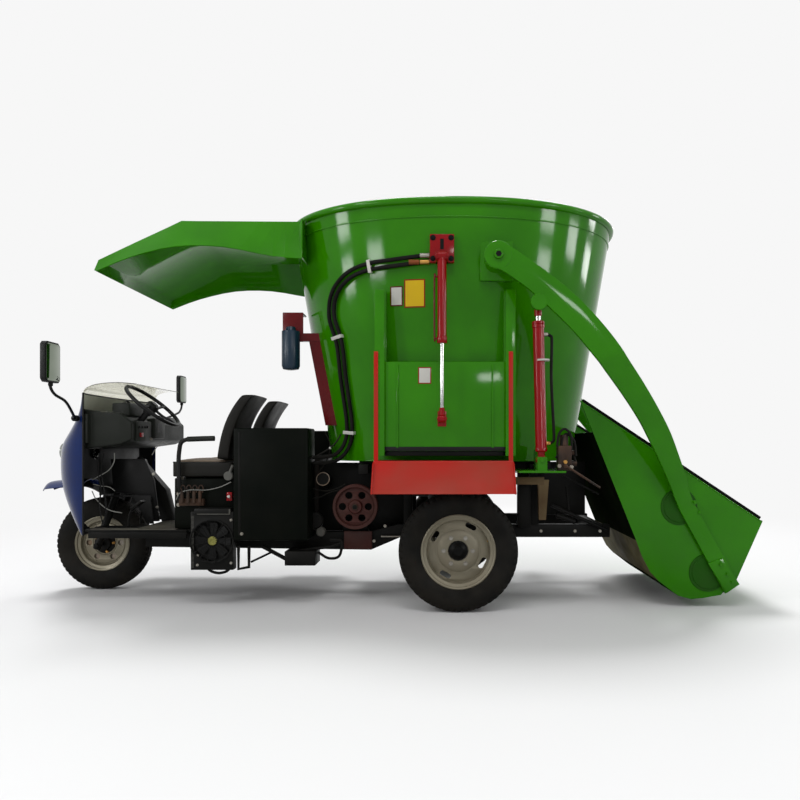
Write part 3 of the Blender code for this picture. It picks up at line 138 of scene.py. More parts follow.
def setStage(look):
    scene = bpy.context.scene
    scene.view_settings.view_transform = "Standard"
    world = bpy.data.worlds.new("studio")
    scene.world = world
    world.use_nodes = True
    tree = world.node_tree
    background = tree.nodes["Background"]
    feed(background, {"Color": (1, 1, 1, 1), "Strength": look["worldLight"]})
    seen = addNode(tree, "ShaderNodeBackground", {"Color": (1, 1, 1, 1), "Strength": look["worldSeen"]})
    mix = addNode(tree, "ShaderNodeMixShader", {0: seenRays(tree), 1: background.outputs[0], 2: seen})
    feed(tree.nodes["World Output"], {"Surface": mix})
    half = look["floorSize"] / 2
    mesh = bpy.data.meshes.new("floor")
    corners = [(-half, -half, 0), (half, -half, 0), (half, half, 0), (-half, half, 0)]
    mesh.from_pydata(corners, [], [(0, 1, 2, 3)])
    mesh.materials.append(makeGround(look))
    linked("floor", mesh)
    sun = bpy.data.lights.new("softSun", "SUN")
    sun.energy = look["sunStrength"]
    sun.angle = math.radians(look["sunAngle"])
    tilt = [math.radians(angle) for angle in look["sunTilt"]]
    linked("softSun", sun).rotation_euler = (*tilt, 0)


softboxes = [
    # name, place, aimed at, width, height, watts, whether it lights matt surfaces
    ("highLeft", (-4.6, -4.6, 5.4), (0.0, -0.6, 1.5), 0.7, 2.0, 80, True),
    ("highNear", (0.6, -4.4, 7.0), (0.4, -0.6, 1.4), 3.0, 1.0, 90, True),
    ("backStrip", (1.5, 6.0, 5.0), (0.3, 0, 1.5), 4.0, 1.2, 150, True),
]
# Bright windows that show in the tub's paint and light nothing else: place, panes across and up
windows = [
    ((5.8, -4.5, 2.55), 1, 2), ((7.2, -2.2, 2.75), 1, 1), ((7.6, 0.4, 3.1), 1, 2),
    ((-5.6, -3.4, 2.5), 1, 2), ((-3.9, -5.4, 2.2), 1, 1), ((2.8, -6.6, 3.6), 1, 1),
]
windowPanes = dict(aimed=(0.5, -0.7, 2.0), pane=(1.15, 0.5), gap=0.28, watts=46)


def windowLights(table, look):
    rows = []
    width, height = look["pane"]
    for number, (place, across, up) in enumerate(table):
        toward = Vector(look["aimed"]) - Vector(place)
        side = toward.cross(Vector((0, 0, 1))).normalized()
        upward = side.cross(toward).normalized()
        for i in range(across):
            for k in range(up):
                at = Vector(place) + side * (i - (across - 1) / 2) * (width + look["gap"])
                at += upward * (k - (up - 1) / 2) * (height + look["gap"])
                rows.append(("pane%d%d%d" % (number, i, k), at, at + toward, width, height, look["watts"],
                             False))
    return rows


def setSoftboxes(table):
    for name, place, aimed, width, height, watts, lights in table:
        light = bpy.data.lights.new(name, "AREA")
        light.shape = "RECTANGLE"
        light.size = width
        light.size_y = height
        light.energy = watts
        lamp = linked(name, light)
        lamp.visible_diffuse = lights
        lamp.location = place
        lamp.rotation_euler = (Vector(aimed) - Vector(place)).to_track_quat("-Z", "Y").to_euler()


setCamera(photoView)
setStage(stageLook)
setSoftboxes(softboxes + windowLights(windows, windowPanes))
print("camera and stage set")


# Finishes: slot is the material slot they usually fill, and drift the colour that they drift to

plainFinish = dict(shine=0.5, metal=0, dust=0, driftScale=3.5)
finishes = {
    "greenPaint": dict(slot="green_paint", colour=(0.031, 0.215, 0.0), drift=(0.025, 0.180, 0.0),
                       rough=0.085, shine=0.14, grain=(900, 0.012), dust=0.02),
    # A darker green whose darkness is painted shade, used for the bucket's pads
    "greenPaintedHalfShade": dict(slot="green_paint", colour=(0.010, 0.082, 0.0), drift=(0.008, 0.065, 0.0),
                        rough=0.5, shine=0.1, grain=(300, 0.06), dust=0.05),
    # Near black green, a painted shade for the outside of the bucket's back
    "greenPaintedShade": dict(slot="green_paint", colour=(0.004, 0.009, 0.003), drift=(0.006, 0.007, 0.004),
                       rough=0.75, shine=0.0, grain=(200, 0.1), dust=0.03, driftScale=6),
    "bareSteel": dict(slot="green_paint", colour=(0.12, 0.105, 0.05), drift=(0.06, 0.05, 0.026),
                      rough=0.7, shine=0.05, grain=(200, 0.15), driftScale=5),
    "blackPaint": dict(slot="black_paint", colour=(0.0022, 0.0025, 0.0020), drift=(0.005, 0.005, 0.0045),
                       rough=0.45, shine=0.08, grain=(500, 0.05), dust=0.015),
    "blackSatin": dict(slot="black_paint", colour=(0.0014, 0.0024, 0.0014), drift=(0.0022, 0.0032, 0.002),
                       rough=0.42, shine=0.04, grain=(700, 0.06), dust=0.01),
    "redPaint": dict(slot="red_paint", colour=(0.27, 0.001, 0.004), drift=(0.215, 0.001, 0.003),
                     rough=0.16, shine=0.16, grain=(900, 0.03), dust=0.01),
    "deepRed": dict(slot="red_paint", colour=(0.12, 0.003, 0.005), drift=(0.08, 0.002, 0.003),
                    rough=0.25, shine=0.15, grain=(900, 0.03), dust=0.03),
    "fadedRed": dict(slot="red_paint", colour=(0.47, 0.009, 0.005), drift=(0.35, 0.034, 0.018),
                     rough=0.35, shine=0.1, grain=(400, 0.05), dust=0.03, driftScale=2.4),
    "bluePaint": dict(slot="blue_paint", colour=(0.003, 0.018, 0.105), drift=(0.0025, 0.013, 0.08),
                      rough=0.14, shine=0.2, grain=(1100, 0.02), dust=0.02),
    "canisterBlue": dict(slot="blue_paint", colour=(0.006, 0.026, 0.050), drift=(0.004, 0.018, 0.036),
                         rough=0.3, shine=0.25, grain=(600, 0.03)),
    "chromeRod": dict(slot="chrome_rod", colour=(0.34, 0.35, 0.33), drift=(0.27, 0.28, 0.26),
                      rough=0.12, metal=1.0, grain=(900, 0.01)),
    "wornSteel": dict(slot="worn_steel", colour=(0.22, 0.205, 0.18), drift=(0.13, 0.09, 0.06),
                      rough=0.45, metal=0.9, grain=(120, 0.1), dust=0.1),
    "zincBolt": dict(slot="worn_steel", colour=(0.26, 0.25, 0.22), drift=(0.18, 0.165, 0.14),
                     rough=0.4, metal=1.0, grain=(600, 0.05)),
    "brass": dict(slot="worn_steel", colour=(0.40, 0.22, 0.06), drift=(0.26, 0.13, 0.04),
                  rough=0.35, metal=1.0, grain=(500, 0.05)),
    "castIron": dict(slot="cast_iron", colour=(0.050, 0.009, 0.006), drift=(0.034, 0.009, 0.006),
                     rough=0.55, shine=0.2, grain=(220, 0.25), dust=0.05),
    "rustyIron": dict(slot="cast_iron", colour=(0.014, 0.009, 0.007), drift=(0.05, 0.024, 0.013),
                      rough=0.55, metal=0.3, shine=0.2, grain=(160, 0.25), dust=0.1, driftScale=12),
    "darkEngine": dict(slot="cast_iron", colour=(0.004, 0.0038, 0.0034), drift=(0.010, 0.007, 0.005),
                       rough=0.6, shine=0.1, grain=(160, 0.25), dust=0.03),
    "rimPaint": dict(slot="rim_paint", colour=(0.22, 0.20, 0.145), drift=(0.18, 0.16, 0.11),
                     rough=0.38, metal=0.25, shine=0.3, grain=(700, 0.04), dust=0.2),
    "blackPlastic": dict(slot="black_plastic", colour=(0.0045, 0.0046, 0.0045), drift=(0.006, 0.006, 0.006),
                         rough=0.45, shine=0.14, grain=(1400, 0.12)),
    "greyPlastic": dict(slot="black_plastic", colour=(0.0105, 0.0125, 0.0095),
                        drift=(0.0135, 0.0155, 0.0125), rough=0.5, shine=0.14, grain=(1400, 0.12)),
    # Dim greenish grey: this mirror colour is a painted reflection of darker surroundings
    "mirrorFace": dict(slot="black_plastic", colour=(0.22, 0.25, 0.20), drift=(0.16, 0.19, 0.15),
                       rough=0.04, metal=1.0, grain=(900, 0.005)),
    "hubYellow": dict(slot="black_plastic", colour=(0.34, 0.33, 0.08), drift=(0.24, 0.22, 0.06),
                      rough=0.5, shine=0.2, grain=(300, 0.1)),
    "greyCable": dict(slot="black_plastic", colour=(0.24, 0.24, 0.22), drift=(0.18, 0.18, 0.165),
                      rough=0.5, shine=0.2, grain=(500, 0.02)),
    "creamLining": dict(slot="blue_paint", colour=(0.62, 0.62, 0.50), drift=(0.5, 0.5, 0.4),
                        rough=0.5, shine=0.2, grain=(500, 0.03)),
    "radiatorMetal": dict(slot="radiator_metal", colour=(0.0035, 0.0038, 0.0032),
                          drift=(0.0065, 0.0062, 0.0055), rough=0.5, shine=0.1, grain=(500, 0.08)),
    "greyCast": dict(slot="radiator_metal", colour=(0.10, 0.10, 0.09), drift=(0.06, 0.058, 0.05),
                     rough=0.5, shine=0.2, grain=(200, 0.2), dust=0.1),
    "floorRubber": dict(slot="black_paint", colour=(0.085, 0.08, 0.062), drift=(0.05, 0.046, 0.04),
                        rough=0.7, shine=0.2, grain=(300, 0.2), dust=0.2),
    "rubber": dict(slot="hose_rubber", colour=(0.0042, 0.0042, 0.0036), drift=(0.0065, 0.006, 0.005),
                   rough=0.7, shine=0.1, grain=(350, 0.12), dust=0.05),
    "whiteTie": dict(slot="hose_rubber", colour=(0.60, 0.59, 0.55), drift=(0.5, 0.49, 0.45),
                     rough=0.5, shine=0.2, grain=(500, 0.02)),
    "orangeSleeve": dict(slot="hose_rubber", colour=(0.30, 0.085, 0.025), drift=(0.19, 0.05, 0.016),
                         rough=0.5, shine=0.2, grain=(300, 0.1)),
    "yellowPlate": dict(slot="green_paint", colour=(0.68, 0.46, 0.004), drift=(0.60, 0.39, 0.004),
                        rough=0.4, shine=0.2, grain=(500, 0.02)),
    "seatVinyl": dict(slot="seat_cover", colour=(0.0048, 0.0046, 0.0036), drift=(0.009, 0.008, 0.006),
                      rough=0.45, shine=0.12, grain=(700, 0.25)),
    "seatTan": dict(slot="seat_cover", colour=(0.20, 0.145, 0.10), drift=(0.15, 0.105, 0.07),
                    rough=0.55, shine=0.2, grain=(700, 0.25), dust=0.1),
    "tanSteel": dict(slot="primer_steel", colour=(0.20, 0.145, 0.075), drift=(0.11, 0.07, 0.035),
                     rough=0.6, shine=0.1, grain=(300, 0.1)),
}
dustLook = dict(colour=(0.22, 0.18, 0.13, 1), height=1.6, scale=7.0, rougher=0.5)
madeFinishes = {}


def finish(name):
    if name in madeFinishes:
        return madeFinishes[name]
    look = dict(plainFinish, **finishes[name])
    material, tree, shader = newMaterial(name)
    place = addNode(tree, "ShaderNodeTexCoord", output="Object")

    def clouds(scale, detail=5.0):
        return addNode(tree, "ShaderNodeTexNoise", {"Scale": scale, "Detail": detail, "Vector": place})

    def ranged(source, low, high, toLow, toHigh):
        return addNode(tree, "ShaderNodeMapRange", {"Value": source, "From Min": low, "From Max": high,
                                                    "To Min": toLow, "To Max": toHigh})

    def blended(factor, one, two):
        return addNode(tree, "ShaderNodeMix", {"Factor": factor, "A": one, "B": two}, "Result",
                       data_type="RGBA")

    drift = ranged(clouds(look["driftScale"]), 0.35, 0.65, 0, 1)
    colour = blended(drift, (*look["colour"], 1), (*look["drift"], 1))
    rough = ranged(clouds(9.0), 0.3, 0.7, look["rough"] * 0.85, look["rough"] * 1.2)
    dust = look["dust"]
    if dust:
        # Dust lies thicker near the ground
        height = addNode(tree, "ShaderNodeSeparateXYZ", {0: place}, "Z")
        low = ranged(height, 0.0, dustLook["height"], dust, dust * 0.15)
        patches = ranged(clouds(dustLook["scale"], 8.0), 0.35, 0.75, 0, 1)
        film = addNode(tree, "ShaderNodeMath", {0: low, 1: patches}, operation="MULTIPLY")
        colour = blended(film, colour, dustLook["colour"])
        more = ranged(film, 0, 1, 0, dustLook["rougher"])
        rough = addNode(tree, "ShaderNodeMath", {0: rough, 1: more}, operation="ADD")
    scale, strength = look["grain"]
    heights = {"Strength": strength, "Distance": 0.002, "Height": clouds(scale, 3.0)}
    bump = addNode(tree, "ShaderNodeBump", heights)
    feed(shader, {"Base Color": colour, "Roughness": rough, "Normal": bump, "Metallic": look["metal"],
                  "Specular IOR Level": look["shine"]})
    madeFinishes[name] = material
    return material


def glass(name, colour, rough, solid=0.0):
    if name in madeFinishes:
        return madeFinishes[name]
    material, tree, shader = newMaterial(name)
    place = addNode(tree, "ShaderNodeTexCoord", output="Object")
    streaks = addNode(tree, "ShaderNodeTexNoise", {"Scale": 14, "Vector": place})
    haze = addNode(tree, "ShaderNodeMapRange",
                   {"Value": streaks, "To Min": rough * 0.6, "To Max": rough * 1.5})
    feed(shader,
         {"Base Color": (*colour, 1), "Transmission Weight": 1 - solid, "IOR": 1.45, "Roughness": haze})
    madeFinishes[name] = material
    return material


# Building helpers

def wrap(bm, name):
    mesh = bpy.data.meshes.new(name)
    bm.to_mesh(mesh)
    bm.free()
    return linked(name, mesh)


def crease(mesh, angle):
    mesh.shade_smooth()
    mesh.set_sharp_from_angle(angle=math.radians(angle))


def settle(piece, smooth=35, merge=0.00002):
    # Puts modifiers and place into a plain mesh
    bpy.context.view_layer.update()
    graph = bpy.context.evaluated_depsgraph_get()
    mesh = bpy.data.meshes.new_from_object(piece.evaluated_get(graph))
    mesh.transform(piece.matrix_world)
    name = piece.name
    bpy.data.objects.remove(piece, do_unlink=True)
    if merge:
        bm = bmesh.new()
        bm.from_mesh(mesh)
        bmesh.ops.remove_doubles(bm, verts=bm.verts, dist=merge)
        bm.to_mesh(mesh)
        bm.free()
    mesh.materials.clear()
    mesh.name = name
    if smooth:
        crease(mesh, smooth)
    return linked(name, mesh)


def rounded(piece, width, angle=30):
    bevel = piece.modifiers.new("rounding", "BEVEL")
    bevel.width = width
    bevel.segments = 2
    bevel.limit_method = "ANGLE"
    bevel.angle_limit = math.radians(angle)
    return settle(piece, smooth=angle)


def block(name, low, high, edge=0.002):
    bm = bmesh.new()
    size = [high[i] - low[i] for i in range(3)]
    centre = [(high[i] + low[i]) / 2 for i in range(3)]
    bmesh.ops.create_cube(bm, size=1, matrix=Matrix.Translation(centre) @ Matrix.Diagonal((*size, 1)))
    piece = wrap(bm, name)
    return rounded(piece, edge) if edge else settle(piece)


def aim(direction):
    return Vector((0, 0, 1)).rotation_difference(Vector(direction)).to_matrix().to_4x4()


def lathe(name, profile, origin, direction=(0, -1, 0), steps=64, closed=True, wave=None):
    # Turns a profile of radius and height about a line; wave shifts single points of it
    bm = bmesh.new()
    rings = []
    for k in range(steps):
        turn = 2 * math.pi * k / steps
        ring = []
        for i, (radius, height) in enumerate(profile):
            if wave:
                radius, height = wave(i, k, radius, height)
            ring.append(bm.verts.new((radius * math.cos(turn), radius * math.sin(turn), height)))
        rings.append(ring)
    count = len(profile)
    for one, two in zip(rings, rings[1:] + rings[:1]):
        for i in range(count if closed else count - 1):
            j = (i + 1) % count
            bm.faces.new((one[i], two[i], two[j], one[j]))
    bmesh.ops.remove_doubles(bm, verts=bm.verts, dist=0.00001)
    bmesh.ops.recalc_face_normals(bm, faces=bm.faces)
    bm.transform(Matrix.Translation(Vector(origin)) @ aim(direction))
    return settle(wrap(bm, name), merge=0)


def ringProfile(inner, outer, half, edge=0.002):
    side = [(inner, half), (outer - edge, half), (outer, half - edge)]
    return [(radius, -height) for radius, height in side] + side[::-1]


def rod(name, start, end, radius, sides=24, edge=0.0015):
    start, end = Vector(start), Vector(end)
    length = (end - start).length
    edge = min(edge, radius * 0.4, length * 0.4)
    profile = [(0, 0), (radius - edge, 0), (radius, edge), (radius, length - edge), (radius - edge, length),
               (0, length)]
    return lathe(name, profile, start, end - start, sides, closed=False)


def between(a, b, c, d, t):
    # A smooth course from b to c, for numbers or vectors
    return 0.5 * (2 * b + (c - a) * t + (2 * a - 5 * b + 4 * c - d) * t ** 2
                  + (3 * b - a - 3 * c + d) * t ** 3)


def eased(table, count):
    rows = [table[0], *table, table[-1]]
    course = [[between(*four, k / count) for four in zip(*rows[i:i + 4])]
              for i in range(len(table) - 1) for k in range(count)]
    return course + [list(table[-1])]


def smoothPath(points, each):
    points = [Vector(point) for point in points]
    ends = [points[0] * 2 - points[1], *points, points[-1] * 2 - points[-2]]
    path = [between(*ends[i:i + 4], k / each) for i in range(len(points) - 1) for k in range(each)]
    return path + [points[-1]]


def pipe(name, points, radius, bend=8, sides=3, closed=False):
    path = smoothPath(points, bend) if bend else points
    curve = bpy.data.curves.new(name, "CURVE")
    curve.dimensions = "3D"
    curve.bevel_depth = radius
    curve.bevel_resolution = sides
    curve.use_fill_caps = True
    line = curve.splines.new("POLY")
    line.points.add(len(path) - 1)
    for point, place in zip(line.points, path):
        point.co = (*place, 1)
    line.use_cyclic_u = closed
    return settle(linked(name, curve), smooth=60)


# How a flat outline's across and up lie in space
planes = {
    "xz": Matrix(((1, 0, 0), (0, 0, -1), (0, 1, 0))),
    "yz": Matrix(((0, 0, 1), (1, 0, 0), (0, 1, 0))),
}


def slab(name, outline, plane, sideOne, sideTwo, edge=0.002, holes=()):
    curve = bpy.data.curves.new(name, "CURVE")
    curve.dimensions = "2D"
    curve.fill_mode = "BOTH"
    curve.extrude = abs(sideTwo - sideOne) / 2
    for ring in (outline, *holes):
        line = curve.splines.new("POLY")
        line.points.add(len(ring) - 1)
        for point, (across, up) in zip(line.points, ring):
            point.co = (across, up, 0, 1)
        line.use_cyclic_u = True
    middle = (sideOne + sideTwo) / 2
    if plane == "xz":
        middle = -middle
    piece = linked(name, curve)
    piece.matrix_world = planes[plane].to_4x4() @ Matrix.Translation((0, 0, middle))
    piece = settle(piece)
    return rounded(piece, edge) if edge else piece


def box(across, up):
    # The outline of an upright rectangle
    return [(across[0], up[0]), (across[1], up[0]), (across[1], up[1]), (across[0], up[1])]


def circle(x, z, radius, count=24, start=0.0):
    turns = [start + 2 * math.pi * k / count for k in range(count)]
    return [(x + radius * math.cos(turn), z + radius * math.sin(turn)) for turn in turns]


def join(name, pieces):
    bm = bmesh.new()
    for piece in pieces:
        bm.from_mesh(piece.data)
    for piece in pieces:
        bpy.data.objects.remove(piece, do_unlink=True)
    piece = wrap(bm, name)
    crease(piece.data, 35)
    return piece


def put(piece, material, slotName=None, body="machine", replaced=()):
    slotName = slotName or finishes[material]["slot"]
    piece.data.materials.clear()
    piece.data.materials.append(finish(material) if isinstance(material, str) else material)
    for face in piece.data.polygons:
        face.material_index = 0
    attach(piece, body)
    if replaced:
        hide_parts(*replaced)
    return piece


def dress(node, material, slotName, edge=0.002):
    # The node's own form with its edges rounded
    bm = bmesh.new()
    bm.from_mesh(frame["nodes"][node].data)
    bmesh.ops.remove_doubles(bm, verts=bm.verts, dist=0.00005)
    bmesh.ops.dissolve_limit(bm, angle_limit=math.radians(0.5), verts=bm.verts, edges=bm.edges)
    piece = rounded(wrap(bm, node + "_dressed"), edge)
    return put(piece, material, slotName, frame["nodes"][node]["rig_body"], (node,))


def loft(name, sections, edge):
    bm = bmesh.new()
    rings = [[bm.verts.new(point) for point in section] for section in sections]
    for low, high in zip(rings, rings[1:]):
        for i in range(len(low)):
            j = (i + 1) % len(low)
            bm.faces.new((low[i], low[j], high[j], high[i]))
    bm.faces.new(list(reversed(rings[0])))
    bm.faces.new(rings[-1])
    bmesh.ops.recalc_face_normals(bm, faces=bm.faces)
    return rounded(wrap(bm, name), edge)


def sheetGrid(name, rows, thickness, offset=0.0):
    bm = bmesh.new()
    grid = [[bm.verts.new(point) for point in row] for row in rows]
    for one, two in zip(grid, grid[1:]):
        for i in range(len(one) - 1):
            bm.faces.new((one[i], one[i + 1], two[i + 1], two[i]))
    bmesh.ops.recalc_face_normals(bm, faces=bm.faces)
    piece = wrap(bm, name)
    thick = piece.modifiers.new("sheet", "SOLIDIFY")
    thick.thickness = thickness
    thick.offset = offset
    return settle(piece, 40, merge=0)


def carve(piece, tools):
    for tool in tools:
        step = piece.modifiers.new("carve", "BOOLEAN")
        step.operation = "DIFFERENCE"
        step.solver = "EXACT"
        step.object = tool
    result = settle(piece)
    for tool in tools:
        bpy.data.objects.remove(tool, do_unlink=True)
    return result


def bothSides(piece, material, slotName=None, body="machine", replaced=()):
    # Puts the left piece and its mirror image, each with its own side's body and nodes
    bm = bmesh.new()
    bm.from_mesh(piece.data)
    bmesh.ops.scale(bm, vec=(1, -1, 1), verts=bm.verts)
    bmesh.ops.reverse_faces(bm, faces=bm.faces)
    other = wrap(bm, "right_" + piece.name)
    crease(other.data, 35)
    piece.name = "left_" + piece.name
    for side, half in (("left_", piece), ("right_", other)):
        own = body if body in ("machine", "loader") else side + body
        put(half, material, slotName, own, [side + node for node in replaced])


def spot(right, down, y):
    # A place read from the photo in pixels, at a depth of the builder's choice
    middle = photoView["imagePixels"] / 2
    scale = (y - photoView["place"][1]) / photoView["focalPixels"]
    right -= middle - photoView["centreRight"]
    down -= middle + photoView["centreUp"]
    return Vector((photoView["place"][0] + right * scale, y, photoView["place"][2] - down * scale))


def spots(y, *places):
    return [spot(right, down, y) for right, down in places]


def spotBlock(name, low, high, depth, edge, seen):
    # A block from its lower left to its upper right place in the photo, read at the depth seen
    low, high = spots(seen, low, high)
    return block(name, (low.x, depth[0], low.z), (high.x, depth[1], high.z), edge)


# Bolts by Geometry Nodes

def boltTree():
    tree = bpy.data.node_groups.new("boltsOnPoints", "GeometryNodeTree")
    for label, kind in (("Geometry", "Geometry"), ("Head Radius", "Float"), ("Head Height", "Float"),
                        ("Washer Radius", "Float"), ("Material", "Material")):
        tree.interface.new_socket(label, in_out="INPUT", socket_type="NodeSocket" + kind)
    tree.interface.new_socket("Geometry", in_out="OUTPUT", socket_type="NodeSocketGeometry")
    given = tree.nodes.new("NodeGroupInput").outputs
    head = addNode(tree, "GeometryNodeMeshCylinder", {"Vertices": 6, "Radius": given["Head Radius"],
                                                      "Depth": given["Head Height"]})
    lift = addNode(tree, "ShaderNodeMath", {0: given["Head Height"], 1: 0.6}, operation="MULTIPLY")
    above = addNode(tree, "ShaderNodeCombineXYZ", {"Z": lift})
    raised = addNode(tree, "GeometryNodeTransform", {"Geometry": head, "Translation": above})
    washer = addNode(tree, "GeometryNodeMeshCylinder", {"Vertices": 20, "Radius": given["Washer Radius"],
                                                        "Depth": 0.003})
    both = addNode(tree, "GeometryNodeJoinGeometry", {0: raised})
    feed(both.node, {0: washer})
    facing = addNode(tree, "GeometryNodeInputNamedAttribute", {"Name": "facing"}, "Attribute",
                     data_type="FLOAT_VECTOR")
    turn = addNode(tree, "FunctionNodeAlignRotationToVector", {"Vector": facing}, axis="Z")
    spread = addNode(tree, "GeometryNodeInstanceOnPoints", {"Points": given["Geometry"], "Instance": both,
                                                            "Rotation": turn})
    real = addNode(tree, "GeometryNodeRealizeInstances", {0: spread})
    colour = addNode(tree, "GeometryNodeSetMaterial", {"Geometry": real, "Material": given["Material"]})
    feed(tree.nodes.new("NodeGroupOutput"), {0: colour})
    return tree


boltNodes = boltTree()


def bolts(name, points, size=0.009, material="zincBolt", slotName=None, body="machine", facing=(0, -1, 0),
          washer=1.7, height=0.8):
    mesh = bpy.data.meshes.new(name)
    mesh.from_pydata(points, [], [])
    ways = mesh.attributes.new("facing", "FLOAT_VECTOR", "POINT")
    for way in ways.data:
        way.vector = facing
    piece = linked(name, mesh)
    modifier = piece.modifiers.new("bolts", "NODES")
    modifier.node_group = boltNodes
    values = {"Head Radius": size, "Head Height": size * height, "Washer Radius": size * washer,
              "Material": finish(material)}
    for item in boltNodes.interface.items_tree:
        if item.in_out == "INPUT" and item.name in values:
            modifier[item.identifier] = values[item.name]
    return put(settle(piece, smooth=30, merge=0), material, slotName, body)


# Mixing tub

tubSize = dict(x=0.475, floor=0.94, top=2.535, topHalf=(1.13, 0.84), lowHalf=(0.86, 0.62), wall=0.010,
               power=2.2, sides=192, rows=12, rimTube=0.0224, weldHeight=2.44,
               doorSides=(0.0385, 0.8035), doorLow=1.011, doorHigh=1.54, frameHigh=2.0, doorFace=-0.77)


def tubHalf(z, inset=0.0):
    share = (z - tubSize["floor"]) / (tubSize["top"] - tubSize["floor"])
    return [low + share * (high - low) - inset for low, high in zip(tubSize["lowHalf"], tubSize["topHalf"])]


def tubRing(count, z, inset=0.0, ripple=0.0):
    # Points round the oval; every second one stands out by the ripple
    points = []
    power = 2 / tubSize["power"]
    for k in range(count):
        a, b = tubHalf(z, inset - ripple * (k % 2))
        c, s = math.cos(2 * math.pi * k / count), math.sin(2 * math.pi * k / count)
        points.append(Vector((tubSize["x"] + a * math.copysign(abs(c) ** power, c),
                              b * math.copysign(abs(s) ** power, s), z)))
    return points


def tubSide(x, z):
    # Where the tub's near side stands
    a, b = tubHalf(z)
    share = min(1.0, abs(x - tubSize["x"]) / a)
    return -b * (1 - share ** tubSize["power"]) ** (1 / tubSize["power"])


def makeTub():
    size = tubSize
    bm = bmesh.new()
    rise = size["top"] - size["floor"]
    levels = [size["floor"] + rise * r / size["rows"] for r in range(size["rows"] + 1)]
    grid = [[bm.verts.new(point) for point in tubRing(size["sides"], z)] for z in levels]
    for low, high in zip(grid, grid[1:]):
        for k in range(size["sides"]):
            j = (k + 1) % size["sides"]
            bm.faces.new((low[k], low[j], high[j], high[k]))
    bm.faces.new(list(reversed(grid[0])))
    # The discharge opening is cut through the near side
    left, right = size["doorSides"][0] + 0.02, size["doorSides"][1] - 0.02
    for cut, normal in (((left, 0, 0), (1, 0, 0)), ((right, 0, 0), (1, 0, 0)),
                        ((0, 0, size["doorLow"]), (0, 0, 1)), ((0, 0, size["doorHigh"]), (0, 0, 1))):
        near = [f for f in bm.faces if f.calc_center_median().y < -0.3
                and f.calc_center_median().z > size["floor"] + 0.001]
        parts = near + [e for f in near for e in f.edges] + [v for f in near for v in f.verts]
        bmesh.ops.bisect_plane(bm, geom=list(dict.fromkeys(parts)), plane_co=cut, plane_no=normal)
    middles = {f: f.calc_center_median() for f in bm.faces}
    gone = [f for f, middle in middles.items() if middle.y < -0.3 and left < middle.x < right
            and size["doorLow"] < middle.z < size["doorHigh"]]
    bmesh.ops.delete(bm, geom=gone, context="FACES")
    bmesh.ops.recalc_face_normals(bm, faces=bm.faces)
    shell = wrap(bm, "tubShell")
    wall = shell.modifiers.new("wall", "SOLIDIFY")
    wall.thickness = size["wall"]
    wall.offset = -1
    put(settle(shell, smooth=40, merge=0), "greenPaint", replaced=("mixing_tub",))
    for name, count, z, inset, ripple, radius, sides in (
            ("tubRim", 160, size["top"], 0.0, 0.0, size["rimTube"], 5),
            ("tubWeld", 480, size["weldHeight"], -0.001, 0.0012, 0.0045, 1),
            ("tubFootWeld", 480, size["floor"] + 0.006, -0.002, 0.001, 0.005, 1)):
        put(pipe(name, tubRing(count, z, inset, ripple), radius, 0, sides, True), "greenPaint")


def makeDoorFrame():
    left, right = tubSize["doorSides"]
    face, low, high = tubSize["doorFace"], tubSize["doorLow"], tubSize["frameHigh"]
    outer, foot, tall = 0.05, low - 0.03, tubSize["doorHigh"]
    pieces = []
    for s, edge in ((-1, left), (1, right)):
        for name, inner, front, back in (("cheek", -0.02, 0.0, 0.19), ("guide", 0.006, -0.023, 0.01),
                                         ("lip", -0.012, -0.034, -0.022)):
            lowX, highX = sorted((edge + s * inner, edge + s * outer))
            pieces.append(block(name, (lowX, face + front, foot), (highX, face + back, high)))
    # The sill of the green frame is black as painted shade of the gap under the door
    sill = block("doorSillShade", (left - outer, face, foot), (right + outer, face + 0.16, low))
    put(sill, "blackPaint", "green_paint")
    pieces.append(block("lintel", (left, face, tall), (right, face + 0.15, tall + 0.01)))
    put(join("doorFrame", pieces), "greenPaint")


makeTub()
makeDoorFrame()
print("tub made")


# Wheels

rearWheel = dict(x=0.505, y=0.65, radius=0.3775, width=0.18, rim=0.232, steps=216, lugs=54,
                 slots=(62, 148, 242, 333), slotRadius=0.016, slotReach=0.172, slotHalf=0.021,
                 disc=0.207, bore=0.06, nutCircle=0.092)
frontWheel = dict(x=-2.055, y=0.0, radius=0.333, width=0.125, rim=0.195, steps=216, lugs=54,
                  disc=0.164, holeCircle=0.115, hole=0.021, nutCircle=0.066)


def tyreRing(name, size, direction):
    half = size["width"] / 2
    radius, rim = size["radius"], size["rim"]
    wall = 0.55 * radius + 0.45 * rim
    outer = [(rim, 0.70), (rim + 0.012, 0.76), (rim + 0.03, 0.90), (wall - 0.015, 0.985), (wall, 1.0),
             (wall + 0.02, 0.985), (radius - 0.034, 0.93), (radius - 0.022, 0.90), (radius - 0.018, 0.86),
             (radius - 0.008, 0.80), (radius - 0.003, 0.66), (radius - 0.002, 0.50), (radius - 0.011, 0.47),
             (radius - 0.011, 0.38), (radius - 0.001, 0.35), (radius, 0.10), (radius - 0.009, 0.07)]
    outer = [(r, share * half) for r, share in outer]
    profile = outer + [(r, -h) for r, h in reversed(outer)]
    shoulder = range(7, 11)  # the profile's points that the tread's cuts notch
    lugRows = {*shoulder, *(len(profile) - 1 - i for i in shoulder)}
    each = size["steps"] // size["lugs"]

    def wave(i, k, r, h):
        if i in lugRows and k % each == 0:
            return r - 0.008, h * 0.985
        return r, h

    return lathe(name, profile, (size["x"], size["y"], radius), direction, size["steps"], True, wave)


